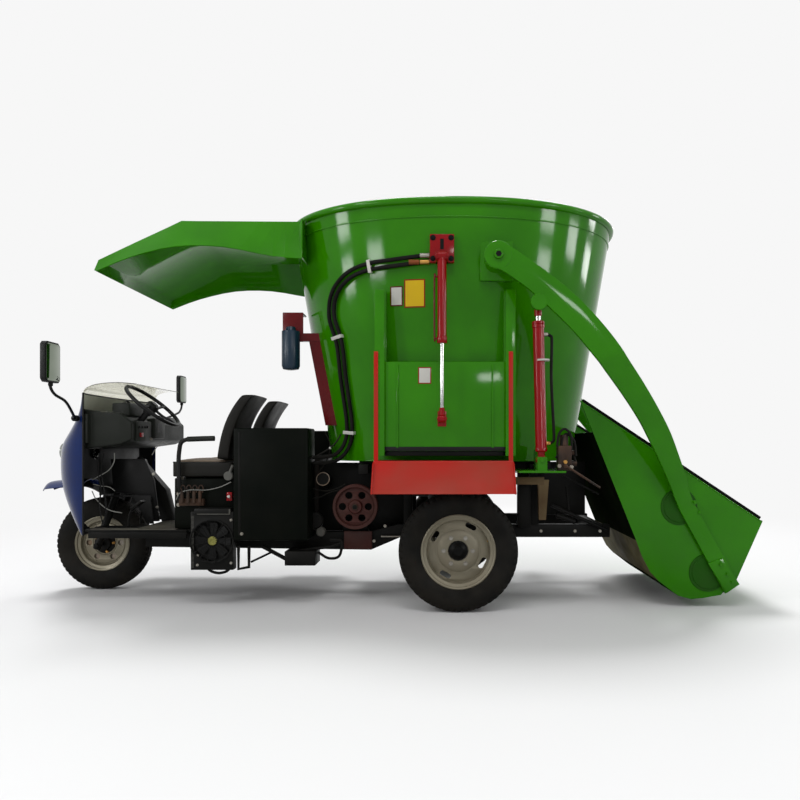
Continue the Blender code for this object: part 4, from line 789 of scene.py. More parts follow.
def ringRim(name, size, direction, centre):
    half = 0.35 * size["width"]
    lip = size["rim"] - 0.0005
    front = [(0, 0), (0.004, 0.004), (-0.002, 0.008), (-0.010, 0.004), (-0.012, -0.006), (-0.030, -0.012)]
    inner = [(-0.024, -0.03), (-0.004, -0.01)]
    profile = [(lip + out, half + along) for out, along in front + [(-0.034, -0.024)]]
    profile.append((lip - 0.036, -half + 0.024))
    profile += [(lip + out, -half - along) for out, along in front[::-1] + inner[::-1]]
    profile += [(lip + out, half + along) for out, along in inner]
    return lathe(name, profile, centre, direction, 128)


def discSlot(size, turn):
    # A long hole: two half rings, drawn apart along the disc's edge
    a = math.radians(turn)
    out, along = Vector((math.cos(a), math.sin(a))), Vector((-math.sin(a), math.cos(a)))
    ring = []
    for k in range(20):
        b = 2 * math.pi * k / 20
        reach = size["slotReach"] + size["slotRadius"] * math.sin(b)
        slide = size["slotHalf"] * (1 if math.cos(b) > 0 else -1) + size["slotRadius"] * math.cos(b)
        point = out * reach + along * slide
        ring.append((size["x"] + point.x, size["radius"] + point.y))
    return ring


def rearRims():
    size = rearWheel
    for side, name in ((-1, "left"), (1, "right")):
        x, y, z = centre = Vector((size["x"], side * size["y"], size["radius"]))
        body, way = name + "_rear_wheel", (0, side, 0)
        put(tyreRing(name + "Tyre", dict(size, y=y), way), "rubber", "tyre_rubber", body,
            (name + "_rear_tyre",))
        put(ringRim(name + "RimRing", size, way, centre), "rimPaint", None, body, (name + "_rear_rim",))
        # The disc: a flat outer ring with four slots, a groove and a raised hub face
        face = y - side * 0.004
        holes = [circle(x, z, size["bore"], 48)] + [discSlot(size, turn) for turn in size["slots"]]
        edge = circle(x, z, size["disc"], 96)
        disc = slab(name + "Disc", edge, "xz", face - 0.004, face + 0.004, 0.0015, holes)
        put(disc, "rimPaint", body=body)
        dish = lathe(name + "Dish", [(0.146, -0.004), (0.143, 0.001), (0.139, -0.003), (0.120, 0.010),
                                     (0.075, 0.012), (0.066, 0.010), (0.064, -0.004), (0.120, -0.006)],
                     centre, way, 96)
        put(dish, "rimPaint", body=body)
        cap = lathe(name + "HubCap", [(0.0, 0.022), (0.030, 0.022), (0.036, 0.016), (0.050, 0.012),
                                      (0.063, -0.004), (0.0, -0.004)], centre, way)
        put(cap, "blackPaint", "rim_paint", body)
        nuts = [(u, y + side * 0.012, w) for u, w in circle(x, z, size["nutCircle"], 6)]
        bolts(name + "Nuts", nuts, 0.0105, "zincBolt", "rim_paint", body, way, 1.35, 1.5)
        foot, tip = centre + Vector((0.186, 0, 0.066)), centre + Vector((0.186, side * 0.03, 0.062))
        put(rod(name + "Valve", foot, tip, 0.0035, 12), "brass", "rim_paint", body)


def frontWheelLooks():
    size = frontWheel
    x, y, z = centre = Vector((size["x"], 0, size["radius"]))
    body, way = "front_wheel", (0, -1, 0)
    put(tyreRing("frontTyre", size, way), "rubber", "tyre_rubber", body, ("front_tyre",))
    put(ringRim("frontRimRing", size, way, centre), "rimPaint", None, body, ("front_rim",))
    holes = [circle(u, w, size["hole"], 28) for u, w in circle(x, z, size["holeCircle"], 6)]
    disc = slab("frontDisc", circle(x, z, size["disc"], 96), "xz", -0.005, 0.005, 0.0015, holes)
    put(disc, "rimPaint", body=body)
    drum = [(0.05, 0.008), (0.138, 0.008), (0.142, 0.012), (0.142, 0.045), (0.132, 0.048), (0.05, 0.048)]
    put(lathe("frontDrum", drum, centre, (0, 1, 0), 72), "wornSteel", "rim_paint", body)
    steps = [lathe("step", [(r - 0.004, 0.004), (r, 0.0085), (r + 0.004, 0.004)], centre, way, 96)
             for r in (0.086, 0.146, 0.158)]
    put(join("frontDiscSteps", steps), "rimPaint", body=body)
    hub = [(0.0157, 0.0), (0.080, 0.0), (0.074, 0.010), (0.056, 0.014), (0.052, 0.040), (0.040, 0.045),
           (0.0157, 0.045)]
    for side in (-1, 1):
        put(lathe("frontHub", hub, centre, (0, side, 0)), "blackPaint", "rim_paint", body)
        nuts = [(u, side * 0.010, w) for u, w in circle(x, z, size["nutCircle"], 5)]
        bolts("frontNuts", nuts, 0.0085, "brass", "rim_paint", body, (0, side, 0), 1.3, 1.5)


rearRims()
frontWheelLooks()
print("wheels made")


# Loader: arms, bucket and lift cylinders

loaderSize = dict(pivot=(0.736, 2.175), lug=(0.978, 1.897), armY=0.93, thick=0.03, bendFrom=0.90,
                  bendTo=1.95, bucketHalf=0.58, stripFrom=(1.306, 1.328), stripTo=(2.452, 0.567),
                  stripHigh=0.019, lip=(2.466, 0.556),
                  pads=(("upper", 1.931, 0.649, 0.10), ("lower", 2.117, 0.225, 0.105)),
                  armBolts=((2.020, 0.680), (2.052, 0.617)),
                  clampBolts=((2.183, 0.285), (2.225, 0.222), (2.258, 0.170)))
armEdges = [
    # upper and lower edge as along, up, along, up from the pivot
    (0.042, 0.068, -0.042, -0.068), (0.139, 0.005, 0.035, -0.102), (0.302, -0.112, 0.190, -0.212),
    (0.435, -0.219, 0.320, -0.328), (0.555, -0.338, 0.435, -0.441), (0.668, -0.470, 0.530, -0.551),
    (0.770, -0.608, 0.640, -0.685), (0.880, -0.748, 0.760, -0.828), (0.985, -0.895, 0.869, -0.969),
    (1.077, -1.042, 0.952, -1.099), (1.150, -1.190, 1.040, -1.250), (1.219, -1.343, 1.120, -1.400),
    (1.275, -1.485, 1.192, -1.547), (1.573, -2.022, 1.483, -2.081),
]


def armOut(radius):
    size = loaderSize
    share = min(1.0, max(0.0, (radius - size["bendFrom"]) / (size["bendTo"] - size["bendFrom"])))
    low = size["bucketHalf"] + size["thick"] / 2 + 0.001
    return size["armY"] + share * (low - size["armY"])


def makeArms():
    size = loaderSize
    px, pz = size["pivot"]
    half = size["thick"] / 2
    sections = []
    for upAlong, up, lowAlong, low in eased(armEdges, 8):
        y = -armOut(math.hypot((upAlong + lowAlong) / 2, (up + low) / 2))
        sections.append([(px + upAlong, y - half, pz + up), (px + upAlong, y + half, pz + up),
                         (px + lowAlong, y + half, pz + low), (px + lowAlong, y - half, pz + low)])
    bothSides(loft("lift_arm_plate", sections, 0.003), "greenPaint", None, "loader", ("lift_arm",))
    profile = [(0.0286, -0.029), (0.050, -0.029), (0.056, -0.016), (0.080, -0.016), (0.084, -0.012),
               (0.084, 0.012), (0.080, 0.016), (0.056, 0.017), (0.0286, 0.018)]
    bothSides(lathe("arm_boss", profile, (px, -size["armY"], pz)), "greenPaint", body="loader")
    lugX, lugZ = size["lug"]
    lug = lathe("arm_lug", ringProfile(0.0, 0.050, 0.016, 0.004), (lugX, -size["armY"], lugZ), steps=48)
    bothSides(lug, "greenPaint", body="loader")
    bothSides(rod("pivot_cap", (px, -0.9655, pz), (px, -0.945, pz), 0.021, 6, 0.003), "blackPaint")


def makeBucketTrim():
    size = loaderSize
    half = size["bucketHalf"]
    # A black strip stands on the top edge of each side panel, over a thin bead
    start, end = Vector(size["stripFrom"]), Vector(size["stripTo"])
    way = (end - start).normalized()
    up = Vector((-way.y, way.x)) * size["stripHigh"]
    strip = slab("bucket_strip", (start, end, end + up, start + up), "xz", -half + 0.002, -half + 0.010,
                 0.001)
    bothSides(strip, "blackSatin", "green_paint", "loader")
    bead = [(point.x, -half + 0.001, point.y - 0.006) for point in (start, end)]
    bothSides(pipe("bucket_bead", bead, 0.0045, 0, 2), "greenPaint", body="loader")
    lipX, lipZ = size["lip"]
    edge = [(lipX, -half + 0.002, lipZ), (lipX, half - 0.002, lipZ)]
    put(pipe("bucketLip", edge, 0.005, 0, 2), "wornSteel", "green_paint", "loader")
    # Round pads behind the arm's foot, its clamp plate and bolts
    for label, x, z, radius in size["pads"]:
        step = [(radius, 0.0), (radius + 0.016, 0.0), (radius + 0.018, 0.002), (radius + 0.016, 0.006),
                (radius, 0.006)]
        pad = join("bucket_pad_" + label, [
            rod("pad", (x, -half - 0.010, z), (x, -half + 0.002, z), radius, 72, 0.003),
            lathe("step", step, (x, -half + 0.0005, z), steps=72)])
        # The pads take the darker green as painted shade
        bothSides(pad, "greenPaintedHalfShade", body="loader")
    clamp = slab("arm_clamp", [(2.104, 0.290), (2.194, 0.322), (2.306, 0.156), (2.2236, 0.100)], "xz",
                 -half - 0.0405, -half - 0.031, 0.003)
    bothSides(clamp, "greenPaint", body="loader")
    for side in (-1, 1):
        rows = ((0.031, size["armBolts"]), (0.0405, size["clampBolts"]))
        places = [(x, side * (half + out), z) for out, row in rows for x, z in row]
        bolts("armFootBolts", places, 0.010, "greenPaint", None, "loader", (0, side, 0), 1.5, 1.0)


cylinderSize = dict(base=(1.0, -0.875, 0.957), eye=(0.978, -0.875, 1.897), barrel=0.034, rod=0.0175,
                    barrelEnd=0.835, ports=(("head", 0.755, "zincBolt"), ("low", 0.10, "brass")))


def makeLiftCylinders():
    size = cylinderSize
    base, eye = Vector(size["base"]), Vector(size["eye"])
    line = (eye - base).normalized()
    side = Vector((line.z, 0, -line.x))
    r, end = size["barrel"], size["barrelEnd"]

    def at(up, across=0.0):
        return base + line * up + side * across

    profile = [(0.0, 0.05), (r - 0.004, 0.05), (r + 0.002, 0.056), (r + 0.002, 0.075), (r, 0.079),
               (r, 0.793), (r + 0.004, 0.797), (r + 0.004, 0.812), (r + 0.001, 0.814), (r + 0.004, 0.817),
               (r + 0.004, 0.831), (r, end), (0.0183, end), (0.0183, 0.09), (0.0, 0.09)]
    barrel = lathe("cylinder_barrel", profile, base, line, 64, False)
    bothSides(barrel, "redPaint", None, "barrel", ("lift_cylinder_barrel",))
    foot = [rod("neck", at(0.028), at(0.056), 0.022, 32),
            lathe("ring", ringProfile(0.0157, 0.032, 0.02), base, steps=48)]
    bothSides(join("cylinder_foot", foot), "redPaint", body="barrel")
    for label, up, material in size["ports"]:
        port = [rod("boss", at(up, r - 0.004), at(up, r + 0.010), 0.0135, 24),
                rod("nut", at(up, r + 0.008), at(up, r + 0.022), 0.0125, 6, 0.0008)]
        bothSides(join("cylinder_port_" + label, port), material, body="barrel")
    out = r + 0.045
    route = [(0.755, r + 0.015), (0.745, out - 0.008), (0.715, out), (0.50, out - 0.008),
             (0.30, out - 0.004), (0.14, out), (0.11, out - 0.008), (0.10, r + 0.015)]
    hose = pipe("cylinder_hose_skin", [at(up, across) for up, across in route], 0.009, 10, 4)
    bothSides(hose, "rubber", None, "barrel", ("cylinder_hose",))
    tie = [(0.0, -0.005), (0.0445, -0.005), (0.0455, 0.0), (0.0445, 0.005), (0.0, 0.005)]
    bothSides(lathe("hose_tie", tie, at(0.60, 0.018), line, 40, False), "whiteTie", body="barrel")
    shaft = join("cylinder_shaft", [rod("shaft", at(0.12), eye - line * 0.02, size["rod"], 48)])
    bothSides(shaft, "chromeRod", None, "rod", ("lift_cylinder_rod",))
    clevis = [lathe("ring", ringProfile(0.016, 0.030, 0.018), eye, steps=48),
              rod("neck", eye - line * 0.075, eye - line * 0.024, 0.0225, 40, 0.003),
              rod("pin", eye + Vector((0, -0.034, 0)), eye + Vector((0, 0.02, 0)), 0.016, 32)]
    bothSides(join("cylinder_eye", clevis), "redPaint", body="rod")


makeArms()
makeBucketTrim()
makeLiftCylinders()
print("loader made")


# Door, its cylinder and the apron

doorSize = dict(x=0.402, y=-0.875, eye=1.206, top=2.185, barrel=0.0275, barrelHigh=2.157, barrelLow=1.66,
                bracketFace=-0.80, high=1.56, plate=((0.256, 0.336), (1.424, 1.526)))


def makeDoorCylinder():
    size = doorSize
    x, y, z, top = size["x"], size["y"], size["eye"], size["top"]
    r, high, low, face = size["barrel"], size["barrelHigh"], size["barrelLow"], size["bracketFace"]
    profile = [(0.0, high), (r - 0.003, high), (r, high - 0.003), (r, 1.702), (0.030, 1.700),
               (0.031, 1.696), (0.031, 1.664), (0.029, low), (0.0129, low), (0.0129, 2.13), (0.0, 2.13)]
    barrel = lathe("doorBarrel", profile, (x, y, 0), (0, 0, 1), 64, False)
    put(barrel, "redPaint", replaced=("door_cylinder_barrel",))
    head = [rod("eye", (x - 0.026, y, top), (x + 0.026, y, top), 0.0285, 40),
            rod("neck", (x, y, 2.15), (x, y, top), 0.024, 40),
            rod("pin", (x - 0.044, y, top), (x + 0.044, y, top), 0.0095, 24)]
    turns = [math.radians(turn) for turn in range(240, 90, -30)]
    outline = [(face, high), (y - 0.004, high)]
    outline += [(y + 0.024 * math.cos(a), top + 0.024 * math.sin(a)) for a in turns] + [(face, 2.225)]
    head += [slab("lug", outline, "yz", at - 0.006, at + 0.006, 0.001) for at in (x - 0.032, x + 0.032)]
    head.append(block("plate", (x - 0.074, -0.838, high), (x + 0.074, face, 2.329), 0.003))
    head.append(block("root", (x - 0.066, -0.81, 2.165), (x + 0.066, -0.775, 2.322), 0.003))
    put(join("doorCylinderHead", head), "redPaint")
    places = [(x + across, -0.838, at) for across in (-0.055, 0.055) for at in (2.18, 2.306)]
    bolts("doorBracketBolts", places, 0.010, "blackPaint", "red_paint")
    # A thin black sheet on the bracket plate is painted shade for its slot
    slot = box((x - 0.011, x + 0.011), (2.235, 2.30))
    put(slab("doorBracketSlotShade", slot, "xz", -0.8386, -0.8375, 0), "blackPaint", "red_paint")
    out = x - 0.045
    course = [(x - 0.024, y, 2.06), (out + 0.006, y, 2.06), (out, y, 2.05), (out, y, 1.70),
              (out + 0.006, y, 1.69), (x - 0.024, y, 1.69)]
    put(pipe("doorSidePipe", course, 0.0058, 4, 3), "deepRed")
    shaft = rod("doorShaft", (x, y, z + 0.02), (x, y, 1.74), 0.012, 40)
    put(shaft, "chromeRod", None, "door", ("door_cylinder_rod",))
    ring = [(0.0093, -0.0135), (0.020, -0.0135), (0.022, -0.012), (0.022, 0.012), (0.020, 0.0135),
            (0.0093, 0.0135)]
    eye = [lathe("ring", ring, (x, y, z), (1, 0, 0), 40),
           rod("socket", (x, y, z + 0.018), (x, y, z + 0.066), 0.0165, 40, 0.003)]
    put(join("doorEye", eye), "redPaint", body="door")


def makeDoor():
    left, right = tubSize["doorSides"]
    low, high = tubSize["doorLow"], doorSize["high"]
    x, y, z = doorSize["x"], doorSize["y"], doorSize["eye"]
    face = -0.786
    panel = block("doorPanel", (left, face, low), (right, face + 0.010, high))
    put(panel, "greenPaint", None, "door", ("discharge_door",))
    turns = [math.radians(turn) for turn in (45, 90, 135)]
    outline = [(face, z - 0.026), (y, z - 0.022)]
    outline += [(y - 0.0195 * math.sin(a), z - 0.022 * math.cos(a)) for a in turns]
    outline += [(y, z + 0.022), (face, z + 0.029)]
    ears = [slab("ear", outline, "yz", at - 0.004, at + 0.004, 0.001) for at in (x - 0.018, x + 0.018)]
    ears.append(rod("pin", (x - 0.03, y, z), (x + 0.03, y, z), 0.009, 24))
    ears.append(block("pad", (x - 0.027, -0.790, z - 0.045), (x + 0.027, -0.785, z + 0.05), 0.0015))
    put(join("doorEars", ears), "redPaint", body="door")
    rails = [block("edge", (at - 0.006, -0.7925, low + 0.02), (at + 0.006, -0.785, high - 0.015))
             for at in (left + 0.09, right - 0.09)]
    put(join("doorRibs", rails), "greenPaint", body="door")
    wiper = block("doorWiper", (left + 0.004, -0.7895, low + 0.001), (right - 0.004, -0.7855, low + 0.026),
                  0.001)
    put(wiper, "blackPlastic", "green_paint", "door")


def blankPlate(name, across, up, y, body, material, border):
    # A plain label with a border and no lettering
    (left, right), (low, high) = across, up
    put(block(name + "Border", (left, y - 0.0012, low), (right, y, high), 0.0003), border, "red_paint",
        body)
    inner = block(name, (left + 0.006, y - 0.0018, low + 0.006), (right - 0.006, y - 0.0008, high - 0.006),
                  0.0003)
    put(inner, material, "red_paint", body)


makeDoorCylinder()
makeDoor()
blankPlate("doorPlate", *doorSize["plate"], -0.7862, "door", "whiteTie", "redPaint")
print("door made")


# Cab

noseSize = dict(edge=-1.925, half=0.55, skin=0.008, axle=-2.055, arch=0.32, lampY=0.2, lampZ=1.0,
                lampR=0.06, lampAhead=0.322, liningFrom=1.285)
noseLevels = [
    # height, how far the nose reaches ahead of its side edges
    (0.457, 0.05), (0.486, 0.12), (0.563, 0.20), (0.68, 0.275), (0.80, 0.32), (0.95, 0.33),
    (1.05, 0.31), (1.147, 0.23), (1.264, 0.12), (1.379, 0.05),
]


def bow(z, reach, half, count, back=0.0):
    # One level of the nose or screen, from the left edge round the front to the right
    turns = [math.pi * k / count for k in range(count + 1)]
    return [(noseSize["edge"] + back - reach * math.sin(turn), -half * math.cos(turn), z) for turn in turns]


def makeFairing():
    size = noseSize
    edge, half = size["edge"], size["half"]
    shell = sheetGrid("fairing", [bow(z, reach, half, 56) for z, reach in eased(noseLevels, 5)],
                      size["skin"])
    tools = [rod("arch", (size["axle"] - 0.9, 0, 0.42), (size["axle"] + 0.4, 0, 0.42), size["arch"], 96, 0)]
    tools += [rod("lampHole", (edge - 0.6, y, size["lampZ"]), (edge, y, size["lampZ"]),
                  size["lampR"] + 0.0005, 48, 0)
              for y in (-size["lampY"], size["lampY"])]
    shell = put(carve(shell, tools), "bluePaint", replaced=("front_fairing",))
    # Black lining, short of the rear edge, and a cream one at the top
    shell.data.materials.append(finish("blackPlastic"))
    shell.data.materials.append(finish("creamLining"))
    for face in shell.data.polygons:
        middle, normal = face.center, face.normal
        outward = normal.x * (middle.x - edge) / 0.33 ** 2 + normal.y * middle.y / half ** 2
        if outward < 0 and middle.x < edge - 0.012:
            face.material_index = 2 if middle.z > size["liningFrom"] else 1
    # Rubber edge down both sides
    for side in (-1, 1):
        points = [(edge - 0.002, side * (half + 0.002), z) for z, reach in eased(noseLevels, 2)]
        put(pipe("fairingEdge", points, 0.006, 0), "blackPlastic", "blue_paint")


def makeLamps():
    size = noseSize
    front = size["edge"] - size["lampAhead"]
    lens = [(0.0, 0.0), (0.030, 0.0015), (0.048, 0.006), (0.054, 0.011), (0.054, 0.015), (0.0, 0.013)]
    bowl = [(0.054, 0.016), (0.056, 0.016), (0.050, 0.045), (0.020, 0.066), (0.0, 0.068), (0.0, 0.064),
            (0.018, 0.062), (0.046, 0.043)]
    ring = [(0.0535, 0.0), (0.059, 0.001), (0.0597, 0.012), (0.0597, 0.030), (0.0555, 0.030),
            (0.0555, 0.012)]
    for side, name in ((-1, "left"), (1, "right")):
        x, y, z = at = (front, side * size["lampY"], size["lampZ"])
        put(lathe(name + "Lens", lens, at, (1, 0, 0), 64, False),
            glass("lampLens", (0.92, 0.94, 0.95), 0.03), "lamp_lens", replaced=(name + "_headlamp",))
        put(lathe(name + "Bowl", bowl, at, (1, 0, 0), 64, False), "chromeRod", "lamp_lens")
        put(lathe(name + "Ring", ring, at, (1, 0, 0)), "chromeRod", "lamp_lens")
        bulb = rod(name + "Bulb", (x + 0.03, y, z), (x + 0.06, y, z), 0.008, 24, 0.004)
        put(bulb, "whiteTie", "lamp_lens")


screenLevels = [
    # height, reach ahead, half width, how far the edges lean back
    (1.380, 0.05, 0.55, 0.0), (1.42, 0.07, 0.53, 0.015), (1.45, 0.05, 0.48, 0.06),
    (1.465, 0.03, 0.42, 0.16), (1.46, 0.01, 0.38, 0.26),
]


def makeScreen():
    rows = [bow(z, reach, half, 40, back) for z, reach, half, back in eased(screenLevels, 5)]
    clear = glass("clearScreen", (0.86, 0.85, 0.74), 0.06, 0.12)
    put(sheetGrid("screen", rows, 0.004), clear, "clear_screen", replaced=("windscreen",))
    put(pipe("screenFoot", bow(1.3835, 0.051, 0.551, 40), 0.005, 0), "blackPlastic", "clear_screen")


mirrorSize = dict(x=-1.88, y=-1.0, z=1.53, half=0.078, high=0.118, corner=0.018, inset=0.010,
                  faceCorner=0.014)


def makeMirrors():
    size = mirrorSize
    x, y, z = size["x"], size["y"], size["z"]

    def plate(half, high, corner):
        return [(y - half, z - high + corner), (y - half + corner, z - high), (y + half - corner, z - high),
                (y + half, z - high + corner), (y + half, z + high - corner), (y + half - corner, z + high),
                (y - half + corner, z + high), (y - half, z + high - corner)]

    shell = plate(size["half"], size["high"], size["corner"])
    bothSides(slab("mirror_housing", shell, "yz", x - 0.019, x + 0.015, 0.006), "blackPlastic",
              replaced=("mirror",))
    pane = plate(size["half"] - size["inset"], size["high"] - size["inset"], size["faceCorner"])
    # The mirror face's dim colour is a painted reflection
    bothSides(slab("mirror_face", pane, "yz", x + 0.0145, x + 0.0165, 0.0005), "mirrorFace")
    root = noseSize["edge"] - 0.04
    stalk = [(x, y, 1.43), (x, y, 1.385), (x + 0.004, -0.96, 1.345), (x + 0.01, -0.86, 1.31),
             (root + 0.03, -0.66, 1.245), (root, -0.59, 1.222), (root, -0.556, 1.22)]
    bothSides(pipe("mirror_stalk", stalk, 0.0085, 10, 4), "blackPlastic")
    knuckle = [rod("ball", (x, y, 1.39), (x, y, 1.414), 0.013, 32, 0.005),
               rod("foot", (root, -0.592, 1.22), (root, -0.5535, 1.22), 0.020, 40, 0.003),
               rod("nut", (root, -0.602, 1.22), (root, -0.59, 1.22), 0.009, 6, 0.001)]
    bothSides(join("mirror_knuckle", knuckle), "blackPaint", "black_plastic")


wheelSize = dict(place=(-1.58, -0.30, 1.314), tilt=50, radius=0.205, grip=0.0128, spokes=(0, 180, 270))


def makeSteeringWheel():
    size = wheelSize
    hub, tilt = Vector(size["place"]), math.radians(size["tilt"])
    axis = Vector((math.cos(tilt), 0, math.sin(tilt)))
    turns = [-2 * math.pi * k / 16 for k in range(16)]
    profile = [(size["radius"] + size["grip"] * math.cos(a), size["grip"] * math.sin(a)) for a in turns]
    put(lathe("wheelRing", profile, hub, axis, 96), "blackPlastic", None, "hand_wheel", ("steering_wheel",))
    profile = [(0.0, 0.022), (0.026, 0.022), (0.040, 0.012), (0.045, -0.004), (0.040, -0.029),
               (0.0, -0.029)]
    pieces = [lathe("hub", profile, hub, axis, 48, False)]
    for turn in size["spokes"]:
        way = Matrix.Rotation(math.radians(turn), 3, axis) @ Vector((0, 1, 0))
        low = hub - axis * 0.012
        course = [low + way * 0.03, low + way * 0.10, hub + way * 0.15, hub + way * 0.20]
        pieces.append(pipe("spoke", course, 0.0095, 6))
    put(join("wheelSpokes", pieces), "blackPlastic", body="hand_wheel")
    column = [rod("tube", hub - axis * 0.28, hub - axis * 0.0305, 0.0215, 40),
              rod("collar", hub - axis * 0.07, hub - axis * 0.035, 0.030, 40, 0.004)]
    put(join("column", column), "blackPlastic", replaced=("steering_column",))


gaugeSize = dict(z=1.293, tilt=0.35)
gauges = (
    # y, radius, how far behind the nose's side edges
    (-0.33, 0.044, 0.190), (-0.235, 0.030, 0.185), (-0.17, 0.030, 0.185),
)
dashCables = (
    ("greyCable", 0.0032, ((114.5, 453), (114, 462), (109, 470), (101, 475), (92, 480))),
    ("greyCable", 0.0032, ((92, 491), (96, 499), (104, 507), (112, 511), (122, 513))),
    ("greyCable", 0.0026, ((93, 484), (101, 486), (109, 487), (115, 491))),
    ("blackPlastic", 0.0045, ((104, 453), (101, 470), (104, 488), (106, 508), (105, 524))),
    ("blackPlastic", 0.0045, ((99, 453), (98, 470), (101, 490), (99, 506), (103, 524))),
    ("greyCable", 0.0026, ((152, 455), (157, 447), (163, 442), (168, 445))),
)


def makeDash():
    edge = noseSize["edge"]
    dress("dashboard", "greyPlastic", "black_plastic", 0.004)
    # A hooded round gauge, with two small ones beyond it
    way = (math.cos(gaugeSize["tilt"]), 0, math.sin(gaugeSize["tilt"]))
    for number, (y, r, along) in enumerate(gauges):
        at = (edge + along, y, gaugeSize["z"])
        hood = [(0.0, -0.07), (r * 0.8, -0.07), (r + 0.009, -0.03), (r + 0.012, 0.012), (r + 0.008, 0.013),
                (r + 0.003, -0.004), (0.0, -0.004)]
        put(lathe("gaugeHood%d" % number, hood, at, way, 56, False), "greyPlastic")
        ring = [(r - 0.003, 0.0), (r - 0.001, 0.003), (r + 0.002, 0.003), (r + 0.003, 0.0)]
        put(lathe("gaugeRing%d" % number, ring, at, way, 56), "zincBolt", "black_plastic")
    console = [block("console", (edge + 0.19, -0.16, 1.09), (edge + 0.30, 0.02, 1.235), 0.010),
               block("shelf", (edge + 0.262, -0.40, 1.07), (edge + 0.285, -0.18, 1.21), 0.006)]
    put(join("dashConsole", console), "greyPlastic")
    # A thin black sheet on the console's face is painted shade for its hole
    put(block("consoleHoleShade", (edge + 0.2995, -0.12, 1.135), (edge + 0.301, -0.04, 1.20), 0), "blackPlastic")
    switch = block("dashSwitch", (edge + 0.284, -0.37, 1.10), (edge + 0.292, -0.325, 1.13))
    put(switch, "redPaint", "black_plastic")
    keys = [rod("key", (edge + 0.284, y, 1.17), (edge + 0.292, y, 1.17), 0.008)
            for y in (-0.37, -0.33, -0.29, -0.25)]
    put(join("dashKeys", keys), "blackPlastic")
    for number, (material, radius, route) in enumerate(dashCables):
        put(pipe("dashCable%d" % number, spots(-0.42, *route), radius, 10), material, "black_plastic")


def makeCover():
    # Cover of the steering head, between the dash and the footwell, and splash plates behind it
    cover = [(-1.90, 0.95), (-1.66, 0.95), (-1.60, 0.80), (-1.565, 0.515), (-1.655, 0.515), (-1.70, 0.60),
             (-1.74, 0.70), (-1.88, 0.72)]
    put(slab("headCover", cover, "xz", -0.245, -0.215, 0.006), "blackPlastic")
    plate = [(-1.925, 0.70), (-1.60, 0.70), (-1.575, 0.505), (-1.62, 0.505), (-1.72, 0.69), (-1.925, 0.69)]
    put(slab("splashPlate", plate, "xz", -0.300, -0.292), "blackPlastic")
    put(slab("splashBack", box((-0.30, 0.30), (0.70, 1.12)), "yz", -1.950, -1.942), "blackPlastic")
    bolts("coverBolts", spots(-0.246, (153.4, 474), (157, 507), (151, 439)), 0.006,
          slotName="black_plastic")


pedalSize = dict(x=-1.60, sides=(-0.40, -0.22), z=0.645, tilt=-35, ribs=5, ribStep=0.018)


def makePedals():
    size = pedalSize
    for y in size["sides"]:
        x = size["x"]
        arm = pipe("pedalArm", [(x - 0.10, y, 0.497), (x - 0.10, y, 0.54), (x - 0.085, y, 0.60),
                                (x - 0.05, y, 0.635)], 0.008)
        plates = [block("pad", (-0.045, -0.035, -0.008), (0.045, 0.035, 0.008), 0.004)]
        for across in (size["ribStep"] * k - 0.04 for k in range(size["ribs"])):
            plates.append(block("rib", (across, -0.03, 0.007), (across + 0.007, 0.03, 0.011), 0.001))
        turn = Matrix.Rotation(math.radians(size["tilt"]), 4, "Y")
        for plate in plates:
            plate.data.transform(Matrix.Translation((x - 0.04, y, size["z"])) @ turn)
        put(join("pedal", [arm, *plates]), "blackPaint", "black_plastic")


def makeFloor():
    dress("floor_pan", "blackPaint", "black_paint")
    put(block("floorMat", (-1.60, -0.535, 0.4952), (-1.36, 0.535, 0.4985), 0.001), "floorRubber")
    ribs = [block("rib", (x, -0.525, 0.498), (x + 0.008, 0.525, 0.5005), 0.0008)
            for x in (-1.59 + 0.025 * k for k in range(9))]
    put(join("floorRibs", ribs), "floorRubber")
    tread = slab("treadPlate", box((-1.885, -1.33), (0.4845, 0.4985)), "xz", -0.5445, -0.47, 0.001)
    bothSides(tread, "floorRubber")
    sides = [block("edge", (-1.90, y - 0.006, 0.44), (-1.26, y + 0.006, 0.4825)) for y in (-0.538, 0.538)]
    put(join("floorEdges", sides), "blackPaint")


seatSize = dict(front=-1.375, rear=-0.955, half=0.52, low=0.8305, high=0.95, padY=0.26, padHalf=0.235,
                padLow=0.905, padHigh=0.958, backY=0.34, backHalf=(0.048, 0.199, 0.215), backZ=1.1653,
                faceHalf=(0.02, 0.12, 0.16), faceAhead=0.036, faceUp=0.010)


def cushion(name, low, high, puff, cuts=10):
    # A box whose sides swell by the puff in each direction
    bm = bmesh.new()
    size = [high[i] - low[i] for i in range(3)]
    bmesh.ops.create_cube(bm, size=1, matrix=Matrix.Diagonal((*size, 1)))
    bmesh.ops.subdivide_edges(bm, edges=bm.edges, cuts=cuts, use_grid_fill=True)
    piece = wrap(bm, name)
    half = [v / 2 for v in size]
    for corner in piece.data.vertices:
        place = [corner.co[i] / half[i] for i in range(3)]
        for i in range(3):
            others = [abs(place[j]) for j in range(3) if j != i]
            dome = (1 - others[0] ** 4) * (1 - others[1] ** 4)
            corner.co[i] *= 1 - puff[i] * (1 - dome)
    piece.location = [(high[i] + low[i]) / 2 for i in range(3)]
    soft = piece.modifiers.new("soft", "SUBSURF")
    soft.levels = 2
    soft.render_levels = 2
    return settle(piece, 0, merge=0)


def padded(piece, material, replaced=()):
    put(piece, material, replaced=replaced)


def backPiece(name, half, puff, cuts, side, ahead=0.0, higher=0.0):
    # A pad that follows the backrest's curve, which leans back more towards the top
    size = seatSize
    piece = cushion(name, [-v for v in half], half, puff, cuts)
    reach = size["backHalf"][2]
    for corner in piece.data.vertices:
        up = (corner.co.z + reach) / (2 * reach)
        corner.co.x += size["rear"] - 0.075 + 0.065 * up + 0.105 * up ** 3 - ahead
        corner.co.y += side * size["backY"]
        corner.co.z += size["backZ"] + higher
    return piece


